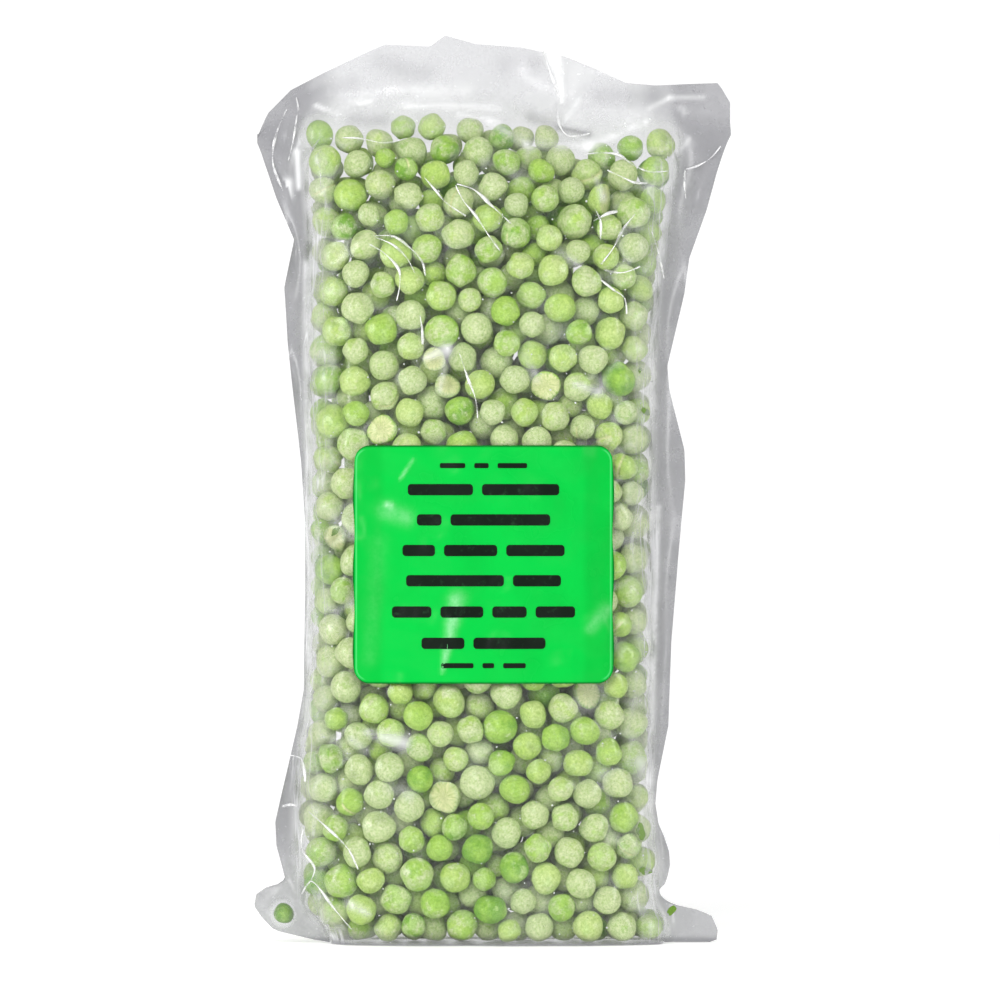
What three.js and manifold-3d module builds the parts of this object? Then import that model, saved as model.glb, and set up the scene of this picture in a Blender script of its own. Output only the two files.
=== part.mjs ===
// A clear vacuum bag of frozen green peas, standing on its folded-under bottom, with a sticker
// on its front. Millimetres, +Z up. The front faces -Y, and the origin is on the floor, under the
// middle of the bag. The film is shut tight over the peas, so the bag is one solid: a rounded
// brick with a bump for each pea that shows, and a thin fin of film round its sides and top.

import * as THREE from "three";
import { mergeVertices } from "three/addons/utils/BufferGeometryUtils.js";
import Module from "manifold-3d";

// ---- Driving dimensions -------------------------------------------------------------------

// The filled brick, as [height, size] pairs from the floor up.
const FILL_LEFT = [[0, -47], [12, -54], [38, -57], [75, -54], [125, -53], [180, -53], [212, -52.5], [236, -55], [245, -53]];
const FILL_RIGHT = [[0, 46], [12, 50], [38, 47], [75, 45], [125, 45], [180, 46], [212, 49], [236, 53], [245, 51]];
const FILL_HALF_DEPTH = [[0, 20], [7, 23], [30, 25], [110, 25.4], [190, 24.5], [215, 20.5], [232, 12.5], [241, 5], [245, 2.2]];
const FILL_HEIGHT = 245;
const SECTION_POWER = 3.2; // of the superellipse that each level section is: 2 is an ellipse
const TOP_DIP = { x: 31, depth: 9, reach: 17, from: 195 }; // the fill's top sinks here

// The edge of the film, as [x, height] points from the left ear over the top to the right ear.
const LEFT_EAR = [[-40, 3], [-52, 0.8], [-64.2, 3.8], [-67.8, 7.6], [-70.1, 10.9], [-69.5, 14.4], [-66, 16.8]];
const LEFT_SIDE = [
  [-60.7, 17.6], [-63.7, 28.5], [-64, 35.6], [-60.7, 49.7], [-57.5, 63.8], [-55.6, 74.4], [-55.2, 102.6],
  [-55.2, 123.8], [-56.4, 141.4], [-58.4, 159], [-60.4, 176.7], [-61.3, 192.6], [-58.4, 206.7], [-63.7, 219],
  [-67.2, 229.6], [-69.2, 236.7],
];
const TOP_SIDE = [
  [-66.3, 243.7], [-59.5, 250.8], [-49.2, 256.1], [-36, 262.2], [-31.6, 264], [-18.4, 263.4], [-14, 266.7],
  [-5.1, 264.3], [8.1, 263.4], [21.3, 260.5], [30.1, 257], [39, 252.8], [47.8, 252], [66.3, 252.8],
];
const RIGHT_SIDE = [
  [69.8, 247], [70.1, 239.9], [65.7, 226.1], [62.8, 215.5], [57.8, 201.4], [56.3, 190.8], [51.3, 169.6],
  [51.9, 162.6], [56.3, 145], [56.6, 136.1], [54.5, 113.2], [52.5, 88.5], [51.6, 63.8], [48.4, 42.6],
  [50.9, 32], [52.6, 23], [52.9, 16],
];
const RIGHT_EAR = [[57.2, 12.6], [64.5, 8.2], [66.4, 3.8], [65.8, 0.9], [55, 0.8], [40, 0.9]];

const FIN_THICKNESS = 0.8;
const FIN_BANDS = [0, 0.4, 0.75, 1]; // shares of the way from inside the brick to the film's edge
const FIN_STEP = 12; // longest stretch of edge between two stations
const FIN_ROOT = 7; // how far the fin reaches into the brick
const HEADER = { from: 238, full: 262, wave: 3.2, pitch: 47, fold: 4.5, foldX: 19, foldReach: 6 };
const SIDE_WAVE = { height: 2.4, pitch: 38, inset: 50, reach: 14 };

// The peas that show: rows of them, set like bricks and then jostled.
const PEA_DIAMETER = 9.4;
const PEAS_ROUND = 26;
const PEA_ROWS = 27;
const PEA_JOSTLE = 0.17; // of the spacing
const PEA_SINK = 1.1; // how far the smaller peas sit back from the film's level
const SADDLE_DEPTH = 2.1; // of the film where two peas meet
const GAP_DEPTH = 3.6; // of the film between three peas
const EAR_PEA = { x: -61.5, z: 9, radius: 3.9, flat: 0.8 }; // the one in the left ear
const SEED = 20;

// The sticker.
const LABEL = { x: -2.7, z: 111.4, width: 76.2, height: 69.4, corner: 4.5, thickness: 0.5, gap: 0.35 };
const LABEL_STEPS = [18, 15]; // across and up

const COLOURS = { bag: 0x8fb35c, label: 0x12d05a };

// ---- Curves and chance --------------------------------------------------------------------

/** A smooth curve through [at, value] pairs, held level past both ends. */
function profile(points) {
  const last = points.length - 1;
  const slope = (i) => {
    if (i === 0 || i === last) return 0;
    return (points[i + 1][1] - points[i - 1][1]) / (points[i + 1][0] - points[i - 1][0]);
  };
  return (at) => {
    if (at <= points[0][0]) return points[0][1];
    if (at >= points[last][0]) return points[last][1];
    const i = points.findIndex((p) => p[0] > at) - 1;
    const [a, b] = [points[i], points[i + 1]];
    const wide = b[0] - a[0];
    const t = (at - a[0]) / wide;
    const rise = (2 * t ** 3 - 3 * t ** 2 + 1) * a[1] + (3 * t ** 2 - 2 * t ** 3) * b[1];
    return rise + wide * ((t ** 3 - 2 * t ** 2 + t) * slope(i) + (t ** 3 - t ** 2) * slope(i + 1));
  };
}

/** Seeded random numbers from 0 to 1. */
function chance(seed) {
  let state = seed;
  return () => {
    state = (Math.imul(state, 1664525) + 1013904223) >>> 0;
    return state / 2 ** 32;
  };
}

const fillLeft = profile(FILL_LEFT);
const fillRight = profile(FILL_RIGHT);
const fillHalfDepth = profile(FILL_HALF_DEPTH);

// ---- The brick's smooth form --------------------------------------------------------------

const SECTION_SAMPLES = 160;

/** The level section at height z as points evenly spaced along it, from the right side round by the back. */
function section(z) {
  const middle = (fillLeft(z) + fillRight(z)) / 2;
  const halfWidth = (fillRight(z) - fillLeft(z)) / 2;
  const halfDepth = fillHalfDepth(z);
  const power = 2 / SECTION_POWER;
  const points = [];
  for (let i = 0; i <= SECTION_SAMPLES; i++) {
    const turn = (i / SECTION_SAMPLES) * 2 * Math.PI;
    const [c, s] = [Math.cos(turn), Math.sin(turn)];
    const x = middle + halfWidth * Math.sign(c) * Math.abs(c) ** power;
    points.push(new THREE.Vector2(x, halfDepth * Math.sign(s) * Math.abs(s) ** power));
  }
  const along = [0];
  for (let i = 1; i < points.length; i++) along.push(along[i - 1] + points[i].distanceTo(points[i - 1]));
  return (share) => {
    const want = THREE.MathUtils.euclideanModulo(share, 1) * along[SECTION_SAMPLES];
    const i = Math.max(1, along.findIndex((a) => a >= want));
    return points[i - 1].clone().lerp(points[i], (want - along[i - 1]) / (along[i] - along[i - 1]));
  };
}

/** How far the fill's top sinks at x, for a point at height z. */
function dip(x, z) {
  const ramp = THREE.MathUtils.smoothstep(z, TOP_DIP.from, FILL_HEIGHT);
  return TOP_DIP.depth * ramp * Math.exp(-(((x - TOP_DIP.x) / TOP_DIP.reach) ** 2));
}

/** A point of the brick's smooth surface. */
function brickPoint(share, z) {
  const flat = section(z)(share);
  return new THREE.Vector3(flat.x, flat.y, z - dip(flat.x, z));
}

/** A point set back by depth from the brick's smooth surface, square to it. */
function setBack(share, z, depth) {
  const [turn, rise] = [0.004, 1];
  const across = brickPoint(share + turn, z).sub(brickPoint(share - turn, z));
  const up = brickPoint(share, Math.min(z + rise, FILL_HEIGHT)).sub(brickPoint(share, Math.max(z - rise, 0)));
  const outward = across.cross(up).normalize();
  return brickPoint(share, z).addScaledVector(outward, -depth);
}

// ---- The brick with its peas --------------------------------------------------------------

/** The brick as a closed geometry. Each three neighbouring peas span a triangle, which is cut at its centre
 *  and at the middles of its sides: peas stand at its corners, and the film sinks at the cuts. */
function brickGeometry() {
  const random = chance(SEED);
  const positions = [];
  const triangles = [];
  const add = (point) => positions.push(point.x, point.y, point.z) / 3 - 1;
  const rowStep = (FILL_HEIGHT - PEA_DIAMETER) / (PEA_ROWS - 1);

  const peas = [];
  for (let row = 0; row < PEA_ROWS; row++) {
    peas.push([]);
    const edgeRow = row === 0 || row === PEA_ROWS - 1;
    for (let i = 0; i < PEAS_ROUND; i++) {
      const share = (i + (row % 2) / 2 + PEA_JOSTLE * (2 * random() - 1)) / PEAS_ROUND;
      const lift = edgeRow ? 0 : PEA_JOSTLE * (2 * random() - 1) * rowStep;
      const z = PEA_DIAMETER / 2 + row * rowStep + lift;
      peas[row].push({ share, z, index: add(setBack(share, z, PEA_SINK * random())) });
    }
  }
  const pea = (row, i) => {
    const turns = Math.floor(i / PEAS_ROUND);
    const found = peas[row][i - turns * PEAS_ROUND];
    return { ...found, share: found.share + turns, key: row * PEAS_ROUND + i - turns * PEAS_ROUND };
  };

  const saddles = new Map();
  const saddle = (a, b) => {
    const key = a.key < b.key ? `${a.key} ${b.key}` : `${b.key} ${a.key}`;
    if (!saddles.has(key)) {
      const place = { share: (a.share + b.share) / 2, z: (a.z + b.z) / 2 };
      saddles.set(key, { ...place, index: add(setBack(place.share, place.z, SADDLE_DEPTH)) });
    }
    return saddles.get(key);
  };
  const span = (a, b, c) => {
    const gap = add(setBack((a.share + b.share + c.share) / 3, (a.z + b.z + c.z) / 3, GAP_DEPTH));
    const ring = [a, saddle(a, b), b, saddle(b, c), c, saddle(c, a)];
    ring.forEach((p, i) => triangles.push(p.index, ring[(i + 1) % ring.length].index, gap));
  };
  for (let row = 0; row + 1 < PEA_ROWS; row++) {
    const shift = row % 2;
    for (let i = 0; i < PEAS_ROUND; i++) {
      const above = pea(row + 1, i + shift);
      span(pea(row, i), pea(row, i + 1), above);
      span(pea(row, i), above, pea(row + 1, i + shift - 1));
    }
  }

  // The flat bottom, and the ridge at the top: each is a ring a little in from the last row of peas, and a fan.
  const close = (row, z, upwards) => {
    const edge = [];
    for (let i = 0; i < PEAS_ROUND; i++) edge.push(pea(row, i), saddle(pea(row, i), pea(row, i + 1)));
    const ring = edge.map((p) => {
      const flat = section(z)(p.share);
      return add(new THREE.Vector3(flat.x, flat.y, z - dip(flat.x, z)));
    });
    const centre = add(new THREE.Vector3((fillLeft(z) + fillRight(z)) / 2, 0, z - dip(0, z)));
    edge.forEach((p, i) => {
      const next = (i + 1) % edge.length;
      const faces = [[p.index, ring[i], ring[next]], [p.index, ring[next], edge[next].index], [ring[i], centre, ring[next]]];
      for (const [a, b, c] of faces) triangles.push(...(upwards ? [a, c, b] : [a, b, c]));
    });
  };
  close(0, 0, false);
  close(PEA_ROWS - 1, FILL_HEIGHT, true);

  const geometry = new THREE.BufferGeometry();
  geometry.setAttribute("position", new THREE.Float32BufferAttribute(positions, 3));
  geometry.setIndex(triangles);
  return geometry;
}

// ---- The fin of film ----------------------------------------------------------------------

/** How far the fin stands forward or back at (x, z). */
function finWave(x, z) {
  const up = THREE.MathUtils.smoothstep(z, HEADER.from, HEADER.full);
  const fold = Math.exp(-(((x - HEADER.foldX) / HEADER.foldReach) ** 2));
  const header = up * (HEADER.wave * Math.sin((2 * Math.PI * x) / HEADER.pitch) - HEADER.fold * fold);
  const out = THREE.MathUtils.smoothstep(Math.abs(x), SIDE_WAVE.inset, SIDE_WAVE.inset + SIDE_WAVE.reach);
  const side = out * SIDE_WAVE.height * Math.sin((2 * Math.PI * z) / SIDE_WAVE.pitch) * Math.sign(x);
  return header + side * (1 - up);
}

/** The film's edge as stations no further than FIN_STEP apart. */
function edgeStations() {
  const corners = [...LEFT_EAR, ...LEFT_SIDE, ...TOP_SIDE, ...RIGHT_SIDE, ...RIGHT_EAR].map((p) => new THREE.Vector2(...p));
  const stations = [];
  corners.slice(1).forEach((to, i) => {
    const from = corners[i];
    const steps = Math.ceil(from.distanceTo(to) / FIN_STEP);
    for (let k = 0; k < steps; k++) stations.push(from.clone().lerp(to, k / steps));
  });
  stations.push(corners[corners.length - 1]);
  return stations;
}

/** Where the fin is rooted in the brick, for a station on its edge. */
function finRoot(station) {
  const highest = FILL_HEIGHT - 2.2 * FIN_ROOT;
  const z = THREE.MathUtils.clamp(station.y, 1.5, highest);
  const x = THREE.MathUtils.clamp(station.x, fillLeft(z) + FIN_ROOT, fillRight(z) - FIN_ROOT);
  return new THREE.Vector2(x, z).lerp(station, 0.08);
}

/** The fin as a closed geometry: a thin strip that follows the film's edge. */
function finGeometry() {
  const rings = edgeStations().map((station) => {
    const root = finRoot(station);
    const face = (side) =>
      FIN_BANDS.map((share) => {
        const flat = root.clone().lerp(station, share);
        return new THREE.Vector3(flat.x, finWave(flat.x, flat.y) + (side * FIN_THICKNESS) / 2, flat.y);
      });
    return [...face(1), ...face(-1).reverse()];
  });
  return tubeGeometry(rings);
}

/** A closed geometry through rings of the same count, whose ends are shut by pairing opposite points. */
function tubeGeometry(rings) {
  const count = rings[0].length;
  const positions = rings.flat().flatMap((p) => [p.x, p.y, p.z]);
  const triangles = [];
  for (let k = 0; k + 1 < rings.length; k++) {
    for (let m = 0; m < count; m++) {
      const n = (m + 1) % count;
      const [a, b, c, d] = [k * count + m, k * count + n, (k + 1) * count + n, (k + 1) * count + m];
      triangles.push(a, b, c, a, c, d);
    }
  }
  for (let m = 0; m + 1 < count / 2; m++) {
    const [a, b, c, d] = [m, m + 1, count - 2 - m, count - 1 - m];
    triangles.push(a, c, b, a, d, c);
    const end = (rings.length - 1) * count;
    triangles.push(end + a, end + b, end + c, end + a, end + c, end + d);
  }
  const geometry = new THREE.BufferGeometry();
  geometry.setAttribute("position", new THREE.Float32BufferAttribute(positions, 3));
  geometry.setIndex(triangles);
  return geometry;
}

/** The pocket that the pea in the left ear makes. */
function earPeaGeometry() {
  const geometry = new THREE.IcosahedronGeometry(EAR_PEA.radius, 1);
  geometry.scale(1, EAR_PEA.flat, 1);
  geometry.translate(EAR_PEA.x, finWave(EAR_PEA.x, EAR_PEA.z), EAR_PEA.z);
  return geometry;
}

// ---- The sticker --------------------------------------------------------------------------

/** How far the front of the brick stands forward at (x, z). */
function frontDepth(x, z) {
  const middle = (fillLeft(z) + fillRight(z)) / 2;
  const share = Math.abs(x - middle) / ((fillRight(z) - fillLeft(z)) / 2);
  return fillHalfDepth(z) * (1 - share ** SECTION_POWER) ** (1 / SECTION_POWER);
}

/** Half of the sticker's width at height up from its middle: less where its corners are round. */
function labelHalfWidth(up) {
  const past = Math.max(0, Math.abs(up) - (LABEL.height / 2 - LABEL.corner));
  return LABEL.width / 2 - LABEL.corner + Math.sqrt(Math.max(0, LABEL.corner ** 2 - past ** 2));
}

/** The sticker as a closed geometry that follows the front of the brick. */
function labelGeometry() {
  const [across, high] = LABEL_STEPS;
  const rings = [];
  for (let k = 0; k <= high; k++) {
    // Rows crowd towards the top and bottom, where the corners are round.
    const up = (-Math.cos((Math.PI * k) / high) * LABEL.height) / 2;
    const half = labelHalfWidth(up);
    const face = (depth) =>
      Array.from({ length: across + 1 }, (_, i) => {
        const x = LABEL.x + half * ((2 * i) / across - 1);
        const z = LABEL.z + up;
        return new THREE.Vector3(x, -(frontDepth(x, z) + LABEL.gap + depth), z);
      });
    rings.push([...face(LABEL.thickness), ...face(0).reverse()]);
  }
  return tubeGeometry(rings);
}

// ---- The assembly -------------------------------------------------------------------------

const wasm = await Module();
wasm.setup();

/** A closed geometry as a solid that can be joined or cut. */
function solidOf(geometry) {
  const bare = new THREE.BufferGeometry();
  bare.setAttribute("position", geometry.getAttribute("position"));
  if (geometry.index) bare.setIndex(geometry.index);
  const merged = mergeVertices(bare, 1e-4);
  return new wasm.Manifold(
    new wasm.Mesh({
      numProp: 3,
      vertProperties: new Float32Array(merged.getAttribute("position").array),
      triVerts: new Uint32Array(merged.index.array),
    }),
  );
}

/** A solid's surface as a geometry. */
function geometryOf(solid) {
  const mesh = solid.getMesh();
  const geometry = new THREE.BufferGeometry();
  geometry.setAttribute("position", new THREE.BufferAttribute(new Float32Array(mesh.vertProperties), 3));
  geometry.setIndex(new THREE.BufferAttribute(new Uint32Array(mesh.triVerts), 1));
  geometry.computeVertexNormals();
  return geometry;
}

function namedMesh(name, geometry, roughness) {
  const material = new THREE.MeshStandardMaterial({ color: COLOURS[name], roughness, metalness: 0 });
  const mesh = new THREE.Mesh(geometry, material);
  mesh.name = name;
  return mesh;
}

const bagSolid = solidOf(brickGeometry()).add(solidOf(finGeometry())).add(solidOf(earPeaGeometry()));
const bag = new THREE.Group();
bag.add(namedMesh("bag", geometryOf(bagSolid), 0.25));
bag.add(namedMesh("label", labelGeometry(), 0.45));

export default bag;
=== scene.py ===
"""A clear vacuum bag of frozen green peas that stands on its folded-under bottom.

The peas are packed as a heap of uneven balls inside the form of the filled bag. Two sheets of film,
sealed to each other round their edge, are then sucked down on the heap, and the sticker is laid on
the front sheet. All lengths are in metres, +Z up, and the front of the bag faces -Y.
"""

import logging
import math
from dataclasses import dataclass, field
from enum import Enum
from typing import Any, Callable, Sequence

import bpy
import numpy as np
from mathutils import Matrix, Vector


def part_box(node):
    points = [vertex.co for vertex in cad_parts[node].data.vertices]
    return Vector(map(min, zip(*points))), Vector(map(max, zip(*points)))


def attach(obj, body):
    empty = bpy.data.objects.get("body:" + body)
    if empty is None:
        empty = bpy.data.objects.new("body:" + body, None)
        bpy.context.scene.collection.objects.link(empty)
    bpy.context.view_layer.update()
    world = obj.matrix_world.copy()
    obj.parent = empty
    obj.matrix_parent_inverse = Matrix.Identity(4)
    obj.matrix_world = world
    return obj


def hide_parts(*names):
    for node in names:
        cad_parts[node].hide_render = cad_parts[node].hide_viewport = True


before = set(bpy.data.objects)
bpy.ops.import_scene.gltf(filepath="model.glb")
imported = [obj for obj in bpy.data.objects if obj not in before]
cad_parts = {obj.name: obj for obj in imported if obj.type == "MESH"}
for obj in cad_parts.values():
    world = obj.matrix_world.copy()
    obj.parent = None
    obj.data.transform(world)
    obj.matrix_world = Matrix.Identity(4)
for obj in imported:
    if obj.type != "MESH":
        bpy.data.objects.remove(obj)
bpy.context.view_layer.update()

Array = np.ndarray
Table = tuple[tuple[float, float], ...]
log = logging.getLogger("bag_of_peas")

MM = 0.001
BODY = "root"
SEED = 11


# ---- Curves and noise ----------------------------------------------------------------------


@dataclass(frozen=True)
class Curve:
    """A smooth curve through (at, value) pairs, in millimetres, held level past both ends."""

    points: Table

    def __call__(self, at: Array) -> Array:
        """The value at each place: a cubic between each two points, with the slope that its neighbours give.

        Args:
            at: places in metres.

        Returns:
            The values in metres, in the shape of at.
        """
        xs, ys = np.array(self.points).T * MM
        slopes = np.zeros_like(ys)
        slopes[1:-1] = (ys[2:] - ys[:-2]) / (xs[2:] - xs[:-2])
        at = np.clip(at, xs[0], xs[-1])
        i = np.clip(np.searchsorted(xs, at, side="right") - 1, 0, len(xs) - 2)
        wide = xs[i + 1] - xs[i]
        t = (at - xs[i]) / wide
        rise = (2 * t**3 - 3 * t**2 + 1) * ys[i] + (3 * t**2 - 2 * t**3) * ys[i + 1]
        return rise + wide * ((t**3 - 2 * t**2 + t) * slopes[i] + (t**3 - t**2) * slopes[i + 1])


def smoothstep(low: float, high: float, at: Array) -> Array:
    """0 below low, 1 above high, and a smooth step between them."""
    t = np.clip((at - low) / (high - low), 0.0, 1.0)
    return t * t * (3 - 2 * t)


def bump(at: Array, centre: float, reach: float) -> Array:
    """A bell curve of height 1 at centre."""
    return np.exp(-(((at - centre) / reach) ** 2))


def ripples(rng: np.random.Generator, points: Array, pitch: float, count: int = 24) -> Array:
    """A smooth random field: the mean of many sine waves in random directions.

    Args:
        rng: the source of the directions and phases.
        points: places, as (..., n).
        pitch: the length of one wave.
        count: how many waves are added.

    Returns:
        The field, with a spread of about 1, in the shape of points without its last axis.
    """
    turned = rng.normal(size=(points.shape[-1], count))
    turned *= (2 * math.pi / pitch) / np.linalg.norm(turned, axis=0) * rng.uniform(0.6, 1.4, count)
    phases = rng.uniform(0, 2 * math.pi, count)
    return np.sin(points @ turned + phases).sum(-1) * math.sqrt(2 / count)


# ---- The form of the filled bag -------------------------------------------------------------


@dataclass(frozen=True)
class Form:
    """The smooth brick that the peas fill: a level superellipse whose width and depth change with height."""

    left: Curve = Curve(((0, -47.5), (12, -55), (38, -58), (75, -54.6), (125, -54.3), (180, -54.5),
                         (212, -54), (236, -56.2), (245, -54)))
    right: Curve = Curve(((0, 50), (5, 51.2), (9, 50), (12.5, 47.3), (16, 47.3), (23, 48.6), (38, 46.8),
                          (75, 46.6), (125, 46.8), (180, 47.6), (212, 50.6), (236, 54.5), (245, 52)))
    half_depth: Curve = Curve(((0, 20), (7, 23), (30, 25), (110, 25.4), (190, 24.5), (215, 20.5), (232, 13.2),
                               (241, 6.4), (245, 2.8)))
    height: float = 0.245
    power: float = 3.2  # of the superellipse that each level section is: 2 is an ellipse
    dips: tuple[tuple[float, float, float], ...] = (  # of the fill's top: where, how deep and how wide, in mm
        (31, 9, 17), (-37, 5, 8), (-11, 2.5, 5))
    dip_from: float = 0.195
    swell_height: float = 1.1 * MM  # of the uneven front and back
    swell_pitch: float = 31 * MM

    def swell(self, x: Array, y: Array, z: Array) -> Array:
        """How far the front or the back stands out of its smooth form: two crossed waves, not alike.

        Args:
            x, y, z: places. The sign of y tells front from back.

        Returns:
            The distance at each place.
        """
        turn = 2 * math.pi / self.swell_pitch
        side = np.where(y < 0, 0.0, 2.2)
        wave = np.sin(turn * (x + 0.45 * z) + side) * np.sin(turn * (0.8 * z - 0.3 * x) + 1.1 + side)
        return self.swell_height * wave * smoothstep(self.height, self.height - 0.03, z)

    def dip(self, x: Array, z: Array) -> Array:
        """How far the fill's top sinks, for a point of the undipped brick at (x, z)."""
        sunk = sum(deep * MM * bump(x, at * MM, reach * MM) for at, deep, reach in self.dips)
        return sunk * smoothstep(self.dip_from, self.height, z)

    def undipped(self, x: Array, z: Array) -> Array:
        """The height before the dip of points that are at height z after it.

        Args:
            x, z: places in the dipped brick.

        Returns:
            Their heights before it dipped.
        """
        before = z
        for _ in range(4):
            before = z + self.dip(x, before)
        return before

    def gauge(self, places: Array) -> Array:
        """How far out points are: 0 on the brick's middle line, 1 on its side walls.

        Args:
            places: points, as (..., 3).

        Returns:
            The superellipse's own radius of each point, (|u|^p + |v|^p)^(1/p).
        """
        x, y, z = np.moveaxis(places, -1, 0)
        z = self.undipped(x, z)
        left, right = self.left(z), self.right(z)
        u = (x - (left + right) / 2) / ((right - left) / 2)
        v = y / (self.half_depth(z) + self.swell(x, y, z))
        return (np.abs(u) ** self.power + np.abs(v) ** self.power) ** (1 / self.power)

    def front(self, x: Array, z: Array) -> Array:
        """How far the brick's front stands forward of its middle at (x, z).

        Args:
            x, z: places, seen from the front.

        Returns:
            The distance at each place.
        """
        z = self.undipped(x, z)
        left, right = self.left(z), self.right(z)
        share = np.clip(np.abs(x - (left + right) / 2) / ((right - left) / 2), 0, 1)
        return self.half_depth(z) * (1 - share**self.power) ** (1 / self.power)


# ---- The heap of peas -----------------------------------------------------------------------


@dataclass
class Heap:
    """Where each pea of the bag lies, found by letting uneven balls push each other apart in the form."""

    form: Form
    mean: float = 9.75 * MM  # of the peas' diameters
    spread: float = 0.85 * MM
    smallest: float = 6.6 * MM
    largest: float = 11.6 * MM
    share: float = 0.662  # of the form that peas fill
    clearance: float = 0.15 * MM  # between the peas and the film's design surface
    floor: float = 0.5 * MM  # between the peas and the ground
    set_back: float = 1.3 * MM  # the furthest that a pea keeps off the film because others hold it
    hang: float = 3.2  # times its own set-back, how far a pea keeps under the fill's top
    draw_cell: float = 2.0 * MM  # of the grid on whose places the balls start
    draw_box: tuple[float, float] = (60 * MM, 30 * MM)  # of that grid: half its width and its depth
    most: int = 4000  # balls drawn, of which as many as fit are kept
    set_backs: tuple[float, float] = (0.5, 1.6)  # of the beta distribution that shares out the set-back
    small: float = 0.7  # of its full size, that a ball starts with
    growth: float = 0.4  # of its full size, over all steps
    give: float = 0.42  # of an overlap, that each ball moves in a step
    probe: float = 0.2 * MM  # the distance over which slopes are measured
    steps: int = 420
    relist: int = 10  # steps between two searches for neighbours
    list_margin: float = 1.5 * MM  # how far apart listed neighbours may be
    last_margin: float = 0.5 * MM  # the same, for the peas' final shapes
    ear_pea: tuple[float, float, float] = (-61.5 * MM, 0.0, 8.6 * MM)
    ear_radius: float = 3.6 * MM
    centres: Array = field(init=False)
    radii: Array = field(init=False)
    margins: Array = field(init=False)
    pairs: Array = field(init=False)

    def fill(self, rng: np.random.Generator) -> None:
        """Draws the peas and packs them. The volume sets their number, the balls grow to full size as they
        settle, and a wall pushes back along its own slope.

        Args:
            rng: the source of the peas' sizes and starts.
        """
        span, (wide, deep) = self.draw_cell, self.draw_box
        axes = [np.arange(lo, hi, span) for lo, hi in ((-wide, wide), (-deep, deep), (0, self.form.height))]
        cells = np.stack(np.meshgrid(*axes, indexing="ij"), -1).reshape(-1, 3)
        inside = cells[self.form.gauge(cells) < 1]
        volume = len(inside) * span**3
        radii = np.clip(rng.normal(self.mean, self.spread, self.most), self.smallest, self.largest) / 2
        count = int(np.searchsorted(np.cumsum(4 / 3 * np.pi * radii**3), self.share * volume))
        self.radii = radii[:count]
        self.centres = rng.permutation(inside)[:count] + rng.uniform(-0.5, 0.5, (count, 3)) * span
        self.margins = self.set_back * rng.beta(*self.set_backs, count)
        for step in range(self.steps):
            grown = min(1.0, self.small + self.growth * step / self.steps)
            if step % self.relist == 0:
                self.pairs = self.neighbours(self.list_margin)
            self.push_apart(grown)
            self.push_inside(grown)
        log.info("heap: %d peas in %.0f ml", count, volume * 1e6)
        self.centres = np.vstack([self.centres, self.ear_pea])
        self.radii = np.append(self.radii, self.ear_radius)
        self.pairs = self.neighbours(self.last_margin)

    def neighbours(self, margin: float) -> Array:
        """The pairs of peas that are nearer to each other than margin, as (2, n) indices.

        Args:
            margin: the widest gap between two listed peas.

        Returns:
            The pairs.
        """
        flat = self.centres.astype(np.float32)
        apart = np.zeros((len(flat), len(flat)), np.float32)
        for axis in range(3):
            apart += (flat[:, None, axis] - flat[None, :, axis]) ** 2
        reach = (self.radii[:, None] + self.radii[None, :] + margin).astype(np.float32)
        return np.array(np.nonzero(np.triu(apart < reach**2, 1)))

    def push_apart(self, grown: float) -> None:
        """Moves each two overlapping peas apart by half of their overlap each, damped.

        Args:
            grown: the balls' size now, as a share of their full size.
        """
        a, b = self.pairs
        way = self.centres[b] - self.centres[a]
        length = np.linalg.norm(way, axis=1) + 1e-9
        overlap = np.maximum(0, grown * (self.radii[a] + self.radii[b]) - length)
        move = way * (self.give * overlap / length)[:, None]
        count = len(self.centres)
        for axis in range(3):
            forward, back = (np.bincount(ends, move[:, axis], count) for ends in (b, a))
            self.centres[:, axis] += forward - back

    def push_inside(self, grown: float) -> None:
        """Moves peas that cross a wall back along the wall's slope.

        Args:
            grown: the balls' size now, as a share of their full size.
        """
        deep = self.form.half_depth(self.centres[:, 2]) / self.form.half_depth(np.array(self.form.height / 2))
        close = grown * self.radii + self.clearance
        need = close + self.margins * deep**2
        step = self.probe
        here = self.form.gauge(self.centres)
        beside = [self.form.gauge(self.centres + step * unit) - here for unit in np.eye(3)]
        slope = np.stack(beside, -1) / step
        steep = np.linalg.norm(slope, axis=1) + 1e-3
        facing = np.abs(slope[:, 1]) / steep
        over = np.maximum(0, close + (need - close) * facing - (1 - here) / steep)
        self.centres -= slope / steep[:, None] * over[:, None]
        x, y, z = self.centres.T
        deep = self.form.front(x, z)
        lean_x = (self.form.front(x + step, z) - deep) / step
        lean_z = (self.form.front(x, z + step) - deep) / step
        lean_x[z < 0.2] = 0
        tall = np.sqrt(1 + np.clip(lean_x, -2, 2) ** 2 + lean_z**2)
        for side in (-1, 1):
            over = np.maximum(0, need - (deep - side * y) / tall) * (z > 0.2)
            self.centres[:, 1] -= side * over / tall
            self.centres[:, 2] += lean_z * over / tall
        top = self.form.height - self.form.dip(x, np.array(self.form.height))
        lid = top - close - self.hang * self.margins
        self.centres[:, 2] = np.clip(self.centres[:, 2], grown * self.radii + self.floor, lid)


# ---- The film -------------------------------------------------------------------------------

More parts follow.
